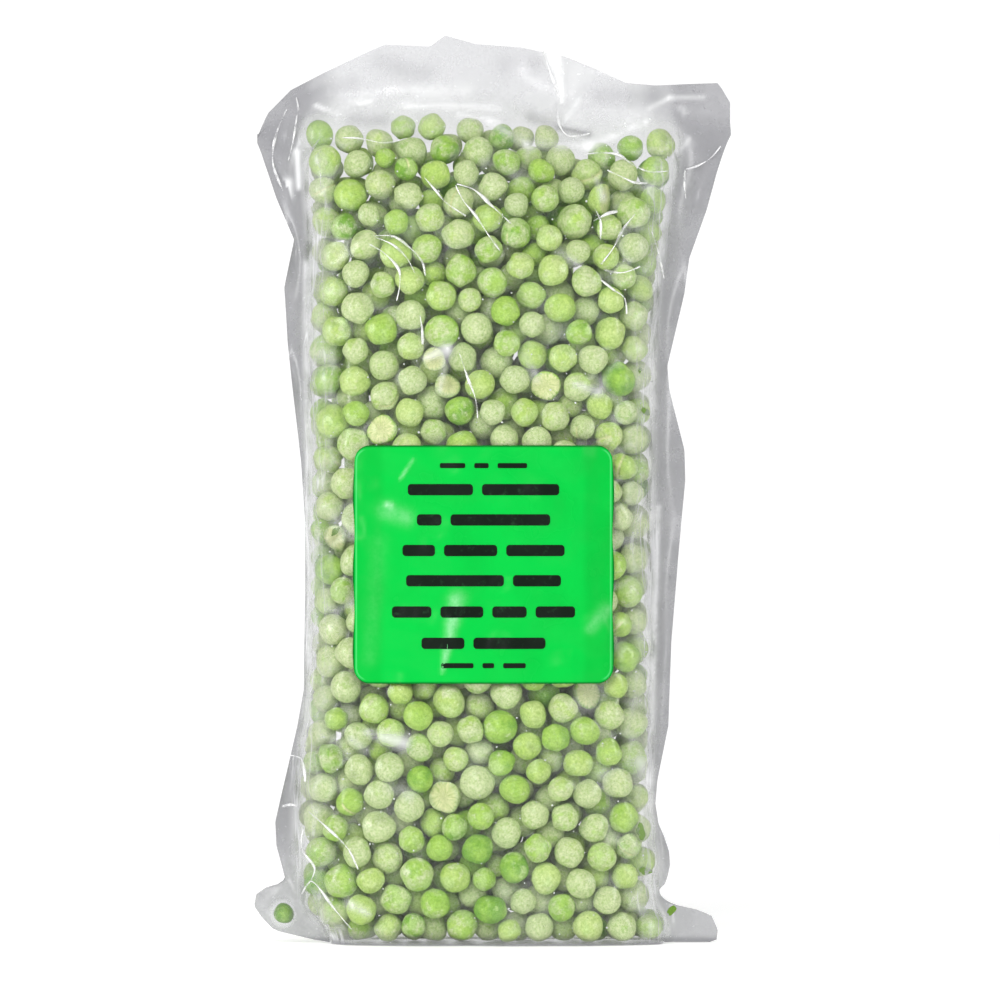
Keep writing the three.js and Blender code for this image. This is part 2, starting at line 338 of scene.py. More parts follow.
EDGE_LEFT: Table = ((0, -46), (0.8, -52), (3.8, -64.2), (7.6, -67.8), (10.9, -70.1), (14.4, -69.5),
                    (16.8, -66), (17.6, -60.7), (28.5, -63.7), (35.6, -64), (49.7, -60.7), (63.8, -57.5),
                    (74.4, -55.6), (102.6, -55.2), (123.8, -55.2), (141.4, -56.4), (159, -58.4),
                    (176.7, -60.4), (192.6, -61.3), (206.7, -58.4), (219, -63.7), (229.6, -67.2),
                    (236.7, -69.2))
EDGE_RIGHT: Table = ((0, 63), (0.9, 65.8), (3.8, 66.2), (8, 64.3), (9.9, 59.5), (11.1, 54), (12.1, 49.6),
                     (13, 48.3), (15.2, 48.3), (17.3, 50.6), (19.7, 51.4), (23, 52.1), (27, 51.8),
                     (31.5, 50.3), (35, 48.7), (41, 47.8), (48, 48.4), (63.8, 51.6), (88.5, 52.5),
                     (113.2, 54.5), (136.1, 56.6), (145, 56.3), (162.6, 51.9), (169.6, 51.3), (190.8, 56.3),
                     (201.4, 57.8), (215.5, 62.8), (226.1, 65.7), (239.9, 70.1), (247, 69.8))
EDGE_TOP: Table = ((-69.2, 236.7), (-66.3, 243.7), (-59.5, 250.8), (-49.2, 256.1), (-36, 262.2), (-31.6, 264),
                   (-18.4, 263.4), (-14, 266.7), (-5.1, 264.3), (8.1, 263.4), (21.3, 260.5), (30.1, 257),
                   (39, 252.8), (47.8, 252), (66.3, 252.8), (69.8, 247))


def along(table: Table, at: Array) -> Array:
    """The straight-sided line through a table of (at, value) pairs in millimetres, at places in metres."""
    xs, ys = np.array(table).T * MM
    return np.interp(at, xs, ys)


@dataclass
class Film:
    """Two sheets sealed together round their edge and sucked down on the peas.

    Both sheets are grids of the same size: place [side, row, column] has side 0 in front and 1 behind,
    rows from the floor up and columns from left to right.
    """

    form: Form
    heap: Heap
    cell: float = 0.95 * MM
    coarse: int = 2  # the first relaxation has cells this many times as long
    lift: float = 0.3 * MM  # of the sheets' start above the brick
    gauge: float = 0.12 * MM  # of the film, kept between it and the peas, and between the two sheets
    spare_across: float = 0.006  # spare length of the sheets
    spare_up: float = 0.006
    ear_room: float = 1.2 * MM  # round the pea in the ear
    header_from: float = 0.225  # above it the rows bend to follow the top edge
    top: float = 0.263
    suck: float = 0.007 * MM  # a step, inwards
    stiffness: float = 0.7
    floor: float = 0.25 * MM  # of the film's lowest rows
    steps: tuple[int, int] = (320, 160)  # coarse, fine
    calm: int = 5  # last rounds, which only smooth the sheets
    flange_share: float = 0.085  # of the columns that each flange has
    least_flange: float = 0.5 * MM
    girth: float = 150 * MM  # over the front from edge to edge, which sets the number of columns
    closing: float = 4 * MM  # height over the fill in which the two sheets come together
    header_waves: tuple[float, float] = (2.6 * MM, 0.071)  # how high and how long
    header_dent: tuple[float, float, float] = (3.2 * MM, 0.018, 0.007)  # how deep, where and how wide
    flange_wave: float = 2.4  # how high, in mm
    flange_pitch: float = 0.038
    drag: float = 0.6  # of its last move, that a place keeps up in the next
    voxel: float = 1.0 * MM
    reach: float = 3.2 * MM  # round the peas, in which voxels are listed
    edge_of_list: float = 12 * MM  # round all the peas' centres
    low: Array = field(init=False)  # the corner where the voxels start
    near: tuple[Array, Array] = field(init=False)  # each voxel's two nearest peas
    places: Array = field(init=False)
    gap: Array = field(init=False)  # between the film and the nearest skin, at each place

    def start(self, cell: float) -> Array:
        """The sheets before they are sucked down, with evenly spaced columns along each level section.

        Args:
            cell: the length of a grid cell.

        Returns:
            Places as (2, rows, columns, 3).
        """
        high = np.linspace(0, self.form.height, 500)
        forward = self.form.half_depth(high)
        length = np.concatenate([[0], np.cumsum(np.hypot(np.diff(high), np.diff(forward)))])
        high = np.append(high, self.top)
        length = np.append(length, length[-1] + self.top - self.form.height)
        rows = int(round(length[-1] / cell)) + 1
        columns = int(round(self.girth / cell)) + 1
        levels = np.interp(np.linspace(0, length[-1], rows), length, high)
        levels[0] = self.floor
        sheet = np.zeros((rows, columns, 3))
        for row, level in enumerate(levels):
            sheet[row] = self.section(level, columns)
        self.bend_header(sheet, levels)
        x, _, z = np.moveaxis(sheet, -1, 0)
        ear_x, _, ear_z = self.heap.ear_pea
        far = np.hypot(x - ear_x, z - ear_z) / (self.heap.ear_radius + self.ear_room)
        sheet[..., 1] = np.minimum(sheet[..., 1], -(self.heap.ear_radius + self.ear_room) * (1 - far**2))
        back = sheet.copy()
        back[..., 1] *= -1
        both = np.stack([sheet, back])
        x, y, z = np.moveaxis(both, -1, 0)
        y += self.wave(x, z) + np.sign(y) * smoothstep(0, 0.01, np.abs(y)) * self.form.swell(x, y, z)
        return both

    def section(self, level: float, columns: int) -> Array:
        """A level line over the front, from edge to edge: flange, brick, flange.

        Args:
            level: its height.
            columns: how many points it has.

        Returns:
            The points (columns, 3).
        """
        z = np.full(1, min(level, self.form.height))
        left, right, deep = self.form.left(z)[0], self.form.right(z)[0], self.form.half_depth(z)[0]
        turn = np.linspace(0, math.pi, 241)
        power = 2 / self.form.power
        middle, half = (left + right) / 2, (right - left) / 2
        x = middle - (half + self.lift) * np.sign(np.cos(turn)) * np.abs(np.cos(turn)) ** power
        y = -(deep + self.lift) * np.sin(turn) ** power
        over = smoothstep(self.form.height, self.form.height + self.closing, np.full(1, level))[0]
        y *= 1 - over
        edges = along(EDGE_LEFT, np.full(1, level))[0], along(EDGE_RIGHT, np.full(1, level))[0]
        ends = min(edges[0], x[0] - self.least_flange), max(edges[1], x[-1] + self.least_flange)
        x = np.concatenate([ends[:1], x, ends[1:]])
        y = np.concatenate([[0], y, [0]])
        run = np.concatenate([[0], np.cumsum(np.hypot(np.diff(x), np.diff(y)))])
        outer = round(self.flange_share * columns)
        even = np.concatenate([np.linspace(0, run[1], outer, endpoint=False),
                               np.linspace(run[1], run[-2], columns - 2 * outer),
                               np.linspace(run[-2], run[-1], outer + 1)[1:]])
        return np.stack([np.interp(even, run, x), np.interp(even, run, y), np.full(columns, level)], -1)

    def bend_header(self, sheet: Array, levels: Array) -> None:
        """Bends the rows above header_from so that the last follows the top edge, and dips the brick's top.

        Args:
            sheet: the front's places, changed in place.
            levels: the rows' heights.
        """
        x = sheet[..., 0]
        rise = (levels[:, None] - self.header_from) / (self.top - self.header_from)
        reach = along(EDGE_TOP, x) - self.header_from
        bent = self.header_from + rise * reach
        flat = levels[:, None] - self.form.dip(x, levels[:, None])
        up = smoothstep(0.0, 1.0, rise)
        sheet[..., 2] = np.where(rise > 0, bent * up + flat * (1 - up), flat)

    def wave(self, x: Array, z: Array) -> Array:
        """How far the flange and the header stand forward or back: slow sine waves, and a dent in the header.

        Args:
            x, z: places, seen from the front.

        Returns:
            The distance at each place, backwards.
        """
        up = smoothstep(0.236, 0.262, z)
        (high, long), (deep, at, wide) = self.header_waves, self.header_dent
        header = up * (high * np.sin(2 * np.pi * x / long + 0.6) - deep * bump(x, at, wide))
        out = smoothstep(0.050, 0.064, np.abs(x))
        side = out * self.flange_wave * MM * np.sin(2 * np.pi * z / self.flange_pitch) * np.sign(x)
        return header + side * (1 - up)

    def list_nearest(self) -> None:
        """Fills a grid of voxels with the two peas whose skins are nearest to each voxel."""
        self.low = self.heap.centres.min(0) - self.edge_of_list
        size = np.ceil((self.heap.centres.max(0) + self.edge_of_list - self.low) / self.voxel).astype(int) + 1
        first = np.full(size, 1.0, np.float32)
        second = first.copy()
        first_id = np.zeros(size, np.int32)
        second_id = np.zeros(size, np.int32)
        for index, (centre, radius) in enumerate(zip(self.heap.centres, self.heap.radii)):
            lo = np.floor((centre - radius - self.reach - self.low) / self.voxel).astype(int)
            hi = np.ceil((centre + radius + self.reach - self.low) / self.voxel).astype(int) + 1
            lo, hi = np.maximum(lo, 0), np.minimum(hi, size)
            block = tuple(slice(*ends) for ends in zip(lo, hi))
            wide, deep, tall = ((np.arange(*ends) * self.voxel + low - middle) ** 2
                                for ends, low, middle in zip(zip(lo, hi), self.low, centre))
            gap = np.sqrt(wide[:, None, None] + deep[None, :, None] + tall[None, None, :]) - radius
            nearer = gap < first[block]
            between = ~nearer & (gap < second[block])
            second[block] = np.where(nearer, first[block], np.where(between, gap, second[block]))
            second_id[block] = np.where(nearer, first_id[block], np.where(between, index, second_id[block]))
            first[block] = np.where(nearer, gap, first[block])
            first_id[block] = np.where(nearer, index, first_id[block])
        self.near = (first_id, second_id)

    def off_peas(self, x: Array) -> Array:
        """Pushes places out of the peas, and returns how far they are off the nearest skin.

        Args:
            x: the places, changed in place.

        Returns:
            The distance at each place, 0 or more.
        """
        last = np.array(self.near[0].shape) - 1
        cell = np.clip(((x - self.low) / self.voxel + 0.5).astype(np.int32), 0, last)
        spot = (cell[..., 0], cell[..., 1], cell[..., 2])
        gap = np.full(x.shape[:-1], 1.0)
        for ids in self.near:
            index = ids[spot]
            way = x - self.heap.centres[index]
            length = np.sqrt(np.einsum("...i,...i", way, way)) + 1e-9
            inside = self.heap.radii[index] + self.gauge - length
            x += way * (np.maximum(inside, 0) / length)[..., None]
            gap = np.minimum(gap, -inside)
        return np.maximum(gap, 0)

    def relax(self, x: Array, rest: dict[str, Array], steps: int) -> None:
        """Sucks the sheets down on the peas while their threads keep their length.

        Args:
            x: the places, changed in place.
            rest: the rest lengths across, up and along both diagonals.
            steps: how many rounds.
        """
        pinned = x.copy()
        speed = np.zeros_like(x)
        for _ in range(steps):
            across = np.gradient(x, axis=2)
            up = np.gradient(x, axis=1)
            outward = np.cross(across, up)
            outward /= np.linalg.norm(outward, axis=-1, keepdims=True) + 1e-12
            outward[1] *= -1
            before = x.copy()
            x += self.drag * speed - self.suck * outward
            self.smooth(x)
            self.hold_lengths(x, rest)
            self.part(x, pinned)
            speed = x - before
        for _ in range(self.calm):
            self.smooth(x)
            self.part(x, pinned)

    def smooth(self, x: Array) -> None:
        """Moves every place towards the middle of its four neighbours."""
        middle = (x[:, 1:-1, :-2] + x[:, 1:-1, 2:] + x[:, :-2, 1:-1] + x[:, 2:, 1:-1]) / 4
        x[:, 1:-1, 1:-1] += self.stiffness * (middle - x[:, 1:-1, 1:-1])

    def part(self, x: Array, pinned: Array) -> None:
        """Keeps the sheets off the peas, off the ground and off each other, and their edge where it was.

        Args:
            x: the places, changed in place.
            pinned: where the edge was sealed.
        """
        self.off_peas(x)
        apart = x[1, ..., 1] - x[0, ..., 1]
        close = np.maximum(0, self.gauge * 2 - apart) / 2
        x[0, ..., 1] -= close
        x[1, ..., 1] += close
        np.maximum(x[..., 2], self.floor, out=x[..., 2])
        self.pin(x, pinned)

    @staticmethod
    def pin(x: Array, pinned: Array) -> None:
        """Puts the edge back where it was sealed."""
        x[:, 0] = pinned[:, 0]
        x[:, -1] = pinned[:, -1]
        x[:, :, 0] = pinned[:, :, 0]
        x[:, :, -1] = pinned[:, :, -1]

    @staticmethod
    def spans(x: Array) -> dict[str, tuple[Array, Array]]:
        """The two ends of every thread of the sheets, by direction."""
        return {
            "across": (x[:, :, :-1], x[:, :, 1:]),
            "up": (x[:, :-1], x[:, 1:]),
            "rising": (x[:, :-1, :-1], x[:, 1:, 1:]),
            "falling": (x[:, 1:, :-1], x[:, :-1, 1:]),
        }

    def rest_lengths(self, x: Array) -> dict[str, Array]:
        """The threads' lengths now, with the spare length added.

        Args:
            x: the places.

        Returns:
            The lengths, by direction.
        """
        spare = {
            "across": 1 + self.spare_across,
            "up": 1 + self.spare_up,
            "rising": 1 + (self.spare_across + self.spare_up) / 2,
            "falling": 1 + (self.spare_across + self.spare_up) / 2,
        }
        return {name: np.linalg.norm(b - a, axis=-1) * spare[name] for name, (a, b) in self.spans(x).items()}

    def hold_lengths(self, x: Array, rest: dict[str, Array]) -> None:
        """One round of giving every thread its rest length, in alternate rows or columns so that no place is
        moved twice at once.

        Args:
            x: the places, changed in place.
            rest: the rest lengths, by direction.
        """
        for name, (a, b) in self.spans(x).items():
            length = rest[name]
            for turn in (0, 1):
                pick = (slice(None), slice(None), slice(turn, None, 2)) if name == "across" else (
                    slice(None), slice(turn, None, 2))
                one, two, want = a[pick], b[pick], length[pick]
                way = two - one
                now = np.sqrt(np.einsum("...i,...i", way, way)) + 1e-9
                way *= (0.5 * self.hold(name) * (1 - want / now))[..., None]
                one += way
                two -= way

    @staticmethod
    def hold(name: str) -> float:
        """How much of a thread's error one round takes away."""
        return 1.0 if name in ("across", "up") else 0.5

    def suck_down(self) -> None:
        """Relaxes coarse sheets, then fine ones laid over them."""
        self.list_nearest()
        log.info("film: nearest peas listed")
        smooth = self.start(self.cell * self.coarse)
        x = smooth.copy()
        self.relax(x, self.rest_lengths(smooth), self.steps[0])
        log.info("film: coarse sheets sucked down")
        fine = self.start(self.cell)
        moved = self.finer(x - smooth, fine.shape[1:3])
        rest = self.rest_lengths(fine)
        x = fine + moved
        self.relax(x, rest, self.steps[1])
        self.places = x
        self.gap = self.off_peas(x.copy())
        log.info("film: fine sheets sucked down, %s", x.shape)

    @staticmethod
    def finer(moved: Array, size: tuple[int, int]) -> Array:
        """A coarse grid's values, read off between its places for a finer grid.

        Args:
            moved: values as (2, rows, columns, 3).
            size: the finer grid's rows and columns.

        Returns:
            The values on the finer grid.
        """
        for axis, count in zip((1, 2), size):
            at = np.linspace(0, moved.shape[axis] - 1, count)
            low = np.minimum(at.astype(int), moved.shape[axis] - 2)
            part = (at - low).reshape([-1 if k == axis else 1 for k in range(4)])
            moved = np.take(moved, low, axis) * (1 - part) + np.take(moved, low + 1, axis) * part
        return moved


# ---- Meshes ---------------------------------------------------------------------------------


@dataclass
class Shell:
    """The points and triangles of a piece, with the values that its finish reads at each point."""

    points: Array
    faces: Array
    floats: dict[str, Array] = field(default_factory=dict)
    colours: dict[str, Array] = field(default_factory=dict)
    vectors: dict[str, Array] = field(default_factory=dict)
    rim: Array | None = None  # which points are on a sharp edge

    def volume(self) -> float:
        """The volume inside, which is negative where the faces point inwards."""
        a, b, c = (self.points[self.faces[:, k]] for k in range(3))
        return float(np.einsum("ij,ij", np.cross(a, b), c) / 6)

    def facing_out(self) -> "Shell":
        """The same shell with its faces pointing outwards."""
        if self.volume() < 0:
            self.faces = self.faces[:, ::-1]
        return self

    @staticmethod
    def joined(shells: Sequence["Shell"]) -> "Shell":
        """Several shells as one, which have the same values.

        Args:
            shells: what is joined.

        Returns:
            The one shell.
        """
        starts = np.cumsum([0] + [len(s.points) for s in shells[:-1]])
        first = shells[0]
        return Shell(
            np.concatenate([s.points for s in shells]),
            np.concatenate([s.faces + start for s, start in zip(shells, starts)]),
            {name: np.concatenate([s.floats[name] for s in shells]) for name in first.floats},
            {name: np.concatenate([s.colours[name] for s in shells]) for name in first.colours},
            {name: np.concatenate([s.vectors[name] for s in shells]) for name in first.vectors},
        )

    def piece(self, name: str, slot: str, node: str, finish: bpy.types.Material) -> bpy.types.Object:
        """Makes the shell an object that rides with the bag and stands for one of its solids.

        Args:
            name: the piece's name.
            slot: a material slot's name; not used.
            node: the solid that it replaces.
            finish: its material.

        Returns:
            The object, at the origin.
        """
        mesh = bpy.data.meshes.new(name)
        mesh.vertices.add(len(self.points))
        mesh.vertices.foreach_set("co", self.points.astype(np.float32).ravel())
        mesh.loops.add(self.faces.size)
        mesh.loops.foreach_set("vertex_index", self.faces.astype(np.int32).ravel())
        mesh.polygons.add(len(self.faces))
        mesh.polygons.foreach_set("loop_start", np.arange(0, self.faces.size, 3, dtype=np.int32))
        mesh.polygons.foreach_set("use_smooth", np.ones(len(self.faces), bool))
        for key, values in self.floats.items():
            mesh.attributes.new(key, "FLOAT", "POINT").data.foreach_set("value", values.astype(np.float32))
        for key, values in self.colours.items():
            opaque = np.column_stack([values, np.ones(len(values))]).astype(np.float32)
            mesh.attributes.new(key, "FLOAT_COLOR", "POINT").data.foreach_set("color", opaque.ravel())
        for key, values in self.vectors.items():
            flat = values.astype(np.float32).ravel()
            mesh.attributes.new(key, "FLOAT_VECTOR", "POINT").data.foreach_set("vector", flat)
        mesh.update(calc_edges=True)
        mesh.validate()
        if self.rim is not None:
            ends = np.zeros(2 * len(mesh.edges), np.int32)
            mesh.edges.foreach_get("vertices", ends)
            sharp = self.rim[ends.reshape(-1, 2)].all(1)
            mesh.attributes.new("sharp_edge", "BOOLEAN", "EDGE").data.foreach_set("value", sharp)
        mesh.materials.append(finish)
        made = bpy.data.objects.new(name, mesh)
        bpy.context.scene.collection.objects.link(made)
        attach(made, BODY)
        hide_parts(node)
        log.info("%s: %d points, %d triangles", name, len(self.points), len(self.faces))
        return made


def halved(a: Array, b: Array, c: Array, d: Array) -> Array:
    """The two triangles of each four-sided face, whose corners are the points a, b, c and d."""
    return np.concatenate([np.stack([a, b, c], -1).reshape(-1, 3), np.stack([a, c, d], -1).reshape(-1, 3)])


def woven(number: Array) -> Array:
    """The triangles of a grid of points, given as their numbers by row and column."""
    return halved(number[:-1, :-1], number[:-1, 1:], number[1:, 1:], number[1:, :-1])


def geodesic(frequency: int) -> tuple[Array, Array]:
    """A ball of even triangles: each face of an icosahedron is cut into frequency squared, and pushed out to
    radius 1.

    Args:
        frequency: how many parts each edge of the icosahedron has.

    Returns:
        Points (n, 3) and triangles (m, 3) that point outwards.
    """
    golden = (1 + math.sqrt(5)) / 2
    corners = np.array([(-1, golden, 0), (1, golden, 0), (-1, -golden, 0), (1, -golden, 0), (0, -1, golden),
                        (0, 1, golden), (0, -1, -golden), (0, 1, -golden), (golden, 0, -1), (golden, 0, 1),
                        (-golden, 0, -1), (-golden, 0, 1)])
    gaps = np.linalg.norm(corners[:, None] - corners[None], axis=-1)
    near = (gaps > 0.1) & (gaps < 2.1)
    sides = [(a, b, c) for a in range(12) for b in range(a + 1, 12) for c in range(b + 1, 12)
             if near[a, b] and near[b, c] and near[a, c]]
    grid = [(i, j) for i in range(frequency + 1) for j in range(frequency + 1 - i)]
    number = {place: k for k, place in enumerate(grid)}
    shares = np.array([(i, j, frequency - i - j) for i, j in grid]) / frequency
    small = []
    for i, j in grid:
        if i + j < frequency:
            small.append((number[i, j], number[i + 1, j], number[i, j + 1]))
        if i + j < frequency - 1:
            small.append((number[i + 1, j], number[i + 1, j + 1], number[i, j + 1]))
    points = np.concatenate([shares @ corners[list(side)] for side in sides])
    faces = np.concatenate([np.array(small) + k * len(grid) for k in range(len(sides))])
    points /= np.linalg.norm(points, axis=1, keepdims=True)
    _, first, back = np.unique(points.round(6), axis=0, return_index=True, return_inverse=True)
    points, faces = points[first], back.reshape(-1)[faces]
    a, b, c = (points[faces[:, k]] for k in range(3))
    inward = np.einsum("ij,ij->i", np.cross(b - a, c - a), a) < 0
    faces[inward] = faces[inward][:, ::-1]
    return points, faces


def random_turns(rng: np.random.Generator, count: int) -> Array:
    """Evenly spread random rotations as matrices (count, 3, 3), from random unit quaternions.

    Args:
        rng: the source of the rotations.
        count: how many.
    """
    w, x, y, z = np.moveaxis(rng.normal(size=(count, 4)), 1, 0)
    size = np.sqrt(w * w + x * x + y * y + z * z)
    w, x, y, z = w / size, x / size, y / size, z / size
    return np.stack([
        np.stack([1 - 2 * (y * y + z * z), 2 * (x * y - z * w), 2 * (x * z + y * w)], -1),
        np.stack([2 * (x * y + z * w), 1 - 2 * (x * x + z * z), 2 * (y * z - x * w)], -1),
        np.stack([2 * (x * z - y * w), 2 * (y * z + x * w), 1 - 2 * (x * x + y * y)], -1),
    ], 1)


# ---- The peas' shapes -----------------------------------------------------------------------


class Kind(Enum):
    """The kinds of pea in the bag, and the frequency of the ball that each is made from."""

    ROUND = 6
    DIMPLED = 7
    SPLIT = 9
    HALF = 8
    MIDDLE = 4  # under the first layer
    DEEP = 2  # out of sight


@dataclass
class Peas:
    """The skins of the peas in the heap."""

    heap: Heap
    form: Form
    squash: float = 0.11  # how much thinner than round a pea may be
    lumps: float = 0.023
    gap: float = 0.06 * MM  # between two peas' skins
    most_neighbours: int = 14
    shares: tuple[tuple[Kind, float], ...] = ((Kind.DIMPLED, 0.22), (Kind.SPLIT, 0.09), (Kind.HALF, 0.04))
    layers: tuple[float, float] = (0.95, 1.9)  # how deep the outer and the middle peas lie, in mean diameters
    waves: int = 5  # that make a pea's lumps
    dimple_width: tuple[float, float] = (0.25, 0.55)
    dimple_depth: tuple[float, float] = (0.05, 0.16)  # as a share of the radius, as in all that follow
    split_width: tuple[float, float] = (0.07, 0.13)
    split_depth: tuple[float, float] = (0.08, 0.16)
    half_cut: tuple[float, float] = (0.05, 0.25)  # of a half pea's face over its middle
    half_hollow: float = 0.18
    ripeness: tuple[float, float] = (1.5, 1.7)  # of the beta distribution
    frost: tuple[float, float] = (1.2, 1.7)
    most_triangles: int = 190000  # of a piece
    patterns: float = 60.0  # the room in which each pea's pattern has its own place

    def sort(self, rng: np.random.Generator) -> dict[Kind, Array]:
        """Which peas are of which kind: the outer ones by chance, the others by their depth.

        Args:
            rng: the source of the chances.

        Returns:
            The peas' numbers in the heap, by kind.
        """
        out = self.form.gauge(self.heap.centres)
        deep = self.heap.centres.copy()
        x, y, z = deep.T
        sideways = np.minimum(x - self.form.left(z), self.form.right(z) - x)
        forward = self.form.front(x, z) - np.abs(y)
        upward = np.minimum(z, self.form.height - z)
        depth = np.minimum(np.minimum(sideways, forward), upward) / self.heap.mean
        depth[out > 1] = 0
        first, second = self.layers
        kinds = {Kind.MIDDLE: np.nonzero((depth >= first) & (depth < second))[0],
                 Kind.DEEP: np.nonzero(depth >= second)[0]}
        outer = rng.permutation(np.nonzero(depth < first)[0])
        start = 0
        for kind, share in self.shares:
            end = start + int(share * len(outer))
            kinds[kind] = outer[start:end]
            start = end
        kinds[Kind.ROUND] = outer[start:]
        return kinds

    def radial(self, rng: np.random.Generator, kind: Kind, count: int, local: Array) -> tuple[Array, Array]:
        """How far out each point of the skins is, as a share of the pea's radius, in the pea's own frame.

        Lumps are a few slow waves. A dimple is a bell-shaped dent round the frame's +Z, a split is a groove
        across it, and a half pea ends at a slightly hollow plane.

        Args:
            rng: the source of the lumps.
            kind: the peas' kind.
            count: how many peas.
            local: unit directions (points, 3) in the pea's own frame.

        Returns:
            The shares (count, points), and how much of each point is flesh, not skin.
        """
        waves = rng.normal(size=(count, self.waves, 3)) * 2.6
        phases = rng.uniform(0, 2 * math.pi, (count, self.waves, 1))
        share = np.sin(waves @ local.T + phases).sum(1) * self.lumps
        share = 1 - np.maximum(share.max(1, keepdims=True) - share, 0)
        flesh = np.zeros_like(share)
        x, y, z = local.T
        if kind is Kind.DIMPLED:
            size = rng.uniform(*self.dimple_width, (count, 1))
            dent = np.exp(-((1 - z)[None] / (size**2)))
            share -= rng.uniform(*self.dimple_depth, (count, 1)) * dent
            flesh = -0.5 * dent
        if kind is Kind.SPLIT:
            wide = rng.uniform(*self.split_width, (count, 1))
            reach = smoothstep(-0.1, 0.35, z + 0.15 * y)[None]
            groove = np.exp(-((x[None] / wide) ** 2)) * reach
            share -= rng.uniform(*self.split_depth, (count, 1)) * groove
            flesh = groove
        if kind is Kind.HALF:
            cut = rng.uniform(*self.half_cut, (count, 1))
            far = cut / np.maximum(z[None], 1e-3)
            hollow = 1 - self.half_hollow * np.clip(1 - (1 - z[None]) / 0.5, 0, 1)
            flat = np.where(z[None] > 0.02, far, 9.0) * hollow
            flesh = smoothstep(-0.05, 0.03, share - flat)
            share = np.minimum(share, flat)
        return share, flesh

    def skins(self, rng: np.random.Generator, kind: Kind, which: Array) -> Shell:
        """The skins of some peas as one shell.

        Each is a ball with its own lumps, turned at random, and cut back to the plane half way to each
        neighbour that it would touch.

        Args:
            rng: the source of the shapes.
            kind: the peas' kind.
            which: their numbers in the heap.

        Returns:
            The shell, with each pea's own directions as the vector "skin", a random number for each pea as
            "ripeness" and "frost", and the cut or broken parts as "flesh".
        """
        local, faces = geodesic(kind.value)
        count = len(which)
        share, flesh = self.radial(rng, kind, count, local)
        axes = rng.uniform(1 - self.squash, 1, (count, 1, 3))
        turns = random_turns(rng, count)
        if kind is Kind.HALF:
            turns = self.turned_outward(turns, which, rng)
        own = local[None] * share[..., None] * axes
        rel = np.einsum("pij,pvj->pvi", turns, own) * self.heap.radii[which][:, None, None]
        ways, offs = self.planes(which)
        for k in range(self.most_neighbours):
            over = np.einsum("pvi,pi->pv", rel, ways[:, k]) - offs[:, k, None]
            rel -= ways[:, k, None] * np.maximum(over, 0)[..., None]
        points = (rel + self.heap.centres[which][:, None]).reshape(-1, 3)
        numbers = (np.arange(count) * len(local))[:, None, None]
        each = np.ones((1, len(local)))
        frosty = np.where(which[:, None] == len(self.heap.radii) - 1, 0.0, 1.0)  # all but the pea in the ear
        return Shell(
            points,
            (faces[None] + numbers).reshape(-1, 3),
            {
                "ripeness": (rng.beta(*self.ripeness, (count, 1)) * frosty * each).ravel(),
                "frost": (rng.beta(*self.frost, (count, 1)) * frosty * each).ravel(),
                "flesh": flesh.ravel(),
            },
            vectors={"skin": (local[None] + rng.uniform(0, self.patterns, (count, 1, 3))).reshape(-1, 3)},
        )

    def build(self, rng: np.random.Generator, finish: bpy.types.Material) -> None:
        """Adds the peas of each kind as one piece, or as more where it would have too many triangles.

        Args:
            rng: the source of the shapes.
            finish: the peas' material.
        """
        for kind, which in self.sort(rng).items():
            name = "peas_" + kind.name.lower()
            batch = self.most_triangles // len(geodesic(kind.value)[1])
            for part, start in enumerate(range(0, len(which), batch)):
                shell = self.skins(rng, kind, which[start:start + batch])
                title = name if len(which) <= batch else f"{name}_{part + 1}"
                shell.piece(title, "bag_of_peas", "bag", finish)

    def turned_outward(self, turns: Array, which: Array, rng: np.random.Generator) -> Array:
        """Turns for half peas whose cut faces look roughly out of the bag, so that they show.

        Args:
            turns: random rotations, one for each pea.
            which: their numbers in the heap.
            rng: the source of the unevenness.

        Returns:
            The rotations (count, 3, 3).
        """
        out = self.heap.centres[which] * (0.3, 1, 0.0)
        out = out / np.linalg.norm(out, axis=1, keepdims=True) + rng.normal(size=out.shape) * 0.45
        out /= np.linalg.norm(out, axis=1, keepdims=True)
        side = np.cross(out, turns[:, :, 0])
        side /= np.linalg.norm(side, axis=1, keepdims=True)
        return np.stack([np.cross(side, out), side, out], -1)

    def planes(self, which: Array) -> tuple[Array, Array]:
        """For each pea, the ways to its neighbours and how far along them the plane between the two lies.

        Args:
            which: their numbers in the heap.

        Returns:
            The ways (count, most, 3) and the distances (count, most).
        """
        a, b = self.heap.pairs
        a, b = np.concatenate([a, b]), np.concatenate([b, a])
        way = self.heap.centres[b] - self.heap.centres[a]
        length = np.linalg.norm(way, axis=1)
        radii = self.heap.radii
        off = (length**2 + radii[a] ** 2 - radii[b] ** 2) / (2 * length) - self.gap / 2
        order = np.lexsort((off, a))
        a, way, off, length = a[order], way[order], off[order], length[order]
        first = np.searchsorted(a, np.arange(len(radii)))
        rank = np.arange(len(a)) - first[a]
        keep = rank < self.most_neighbours
        ways = np.zeros((len(radii), self.most_neighbours, 3))
        offs = np.full((len(radii), self.most_neighbours), 1.0)
        ways[a[keep], rank[keep]] = way[keep] / length[keep, None]
        offs[a[keep], rank[keep]] = off[keep]
        return ways[which], offs[which]


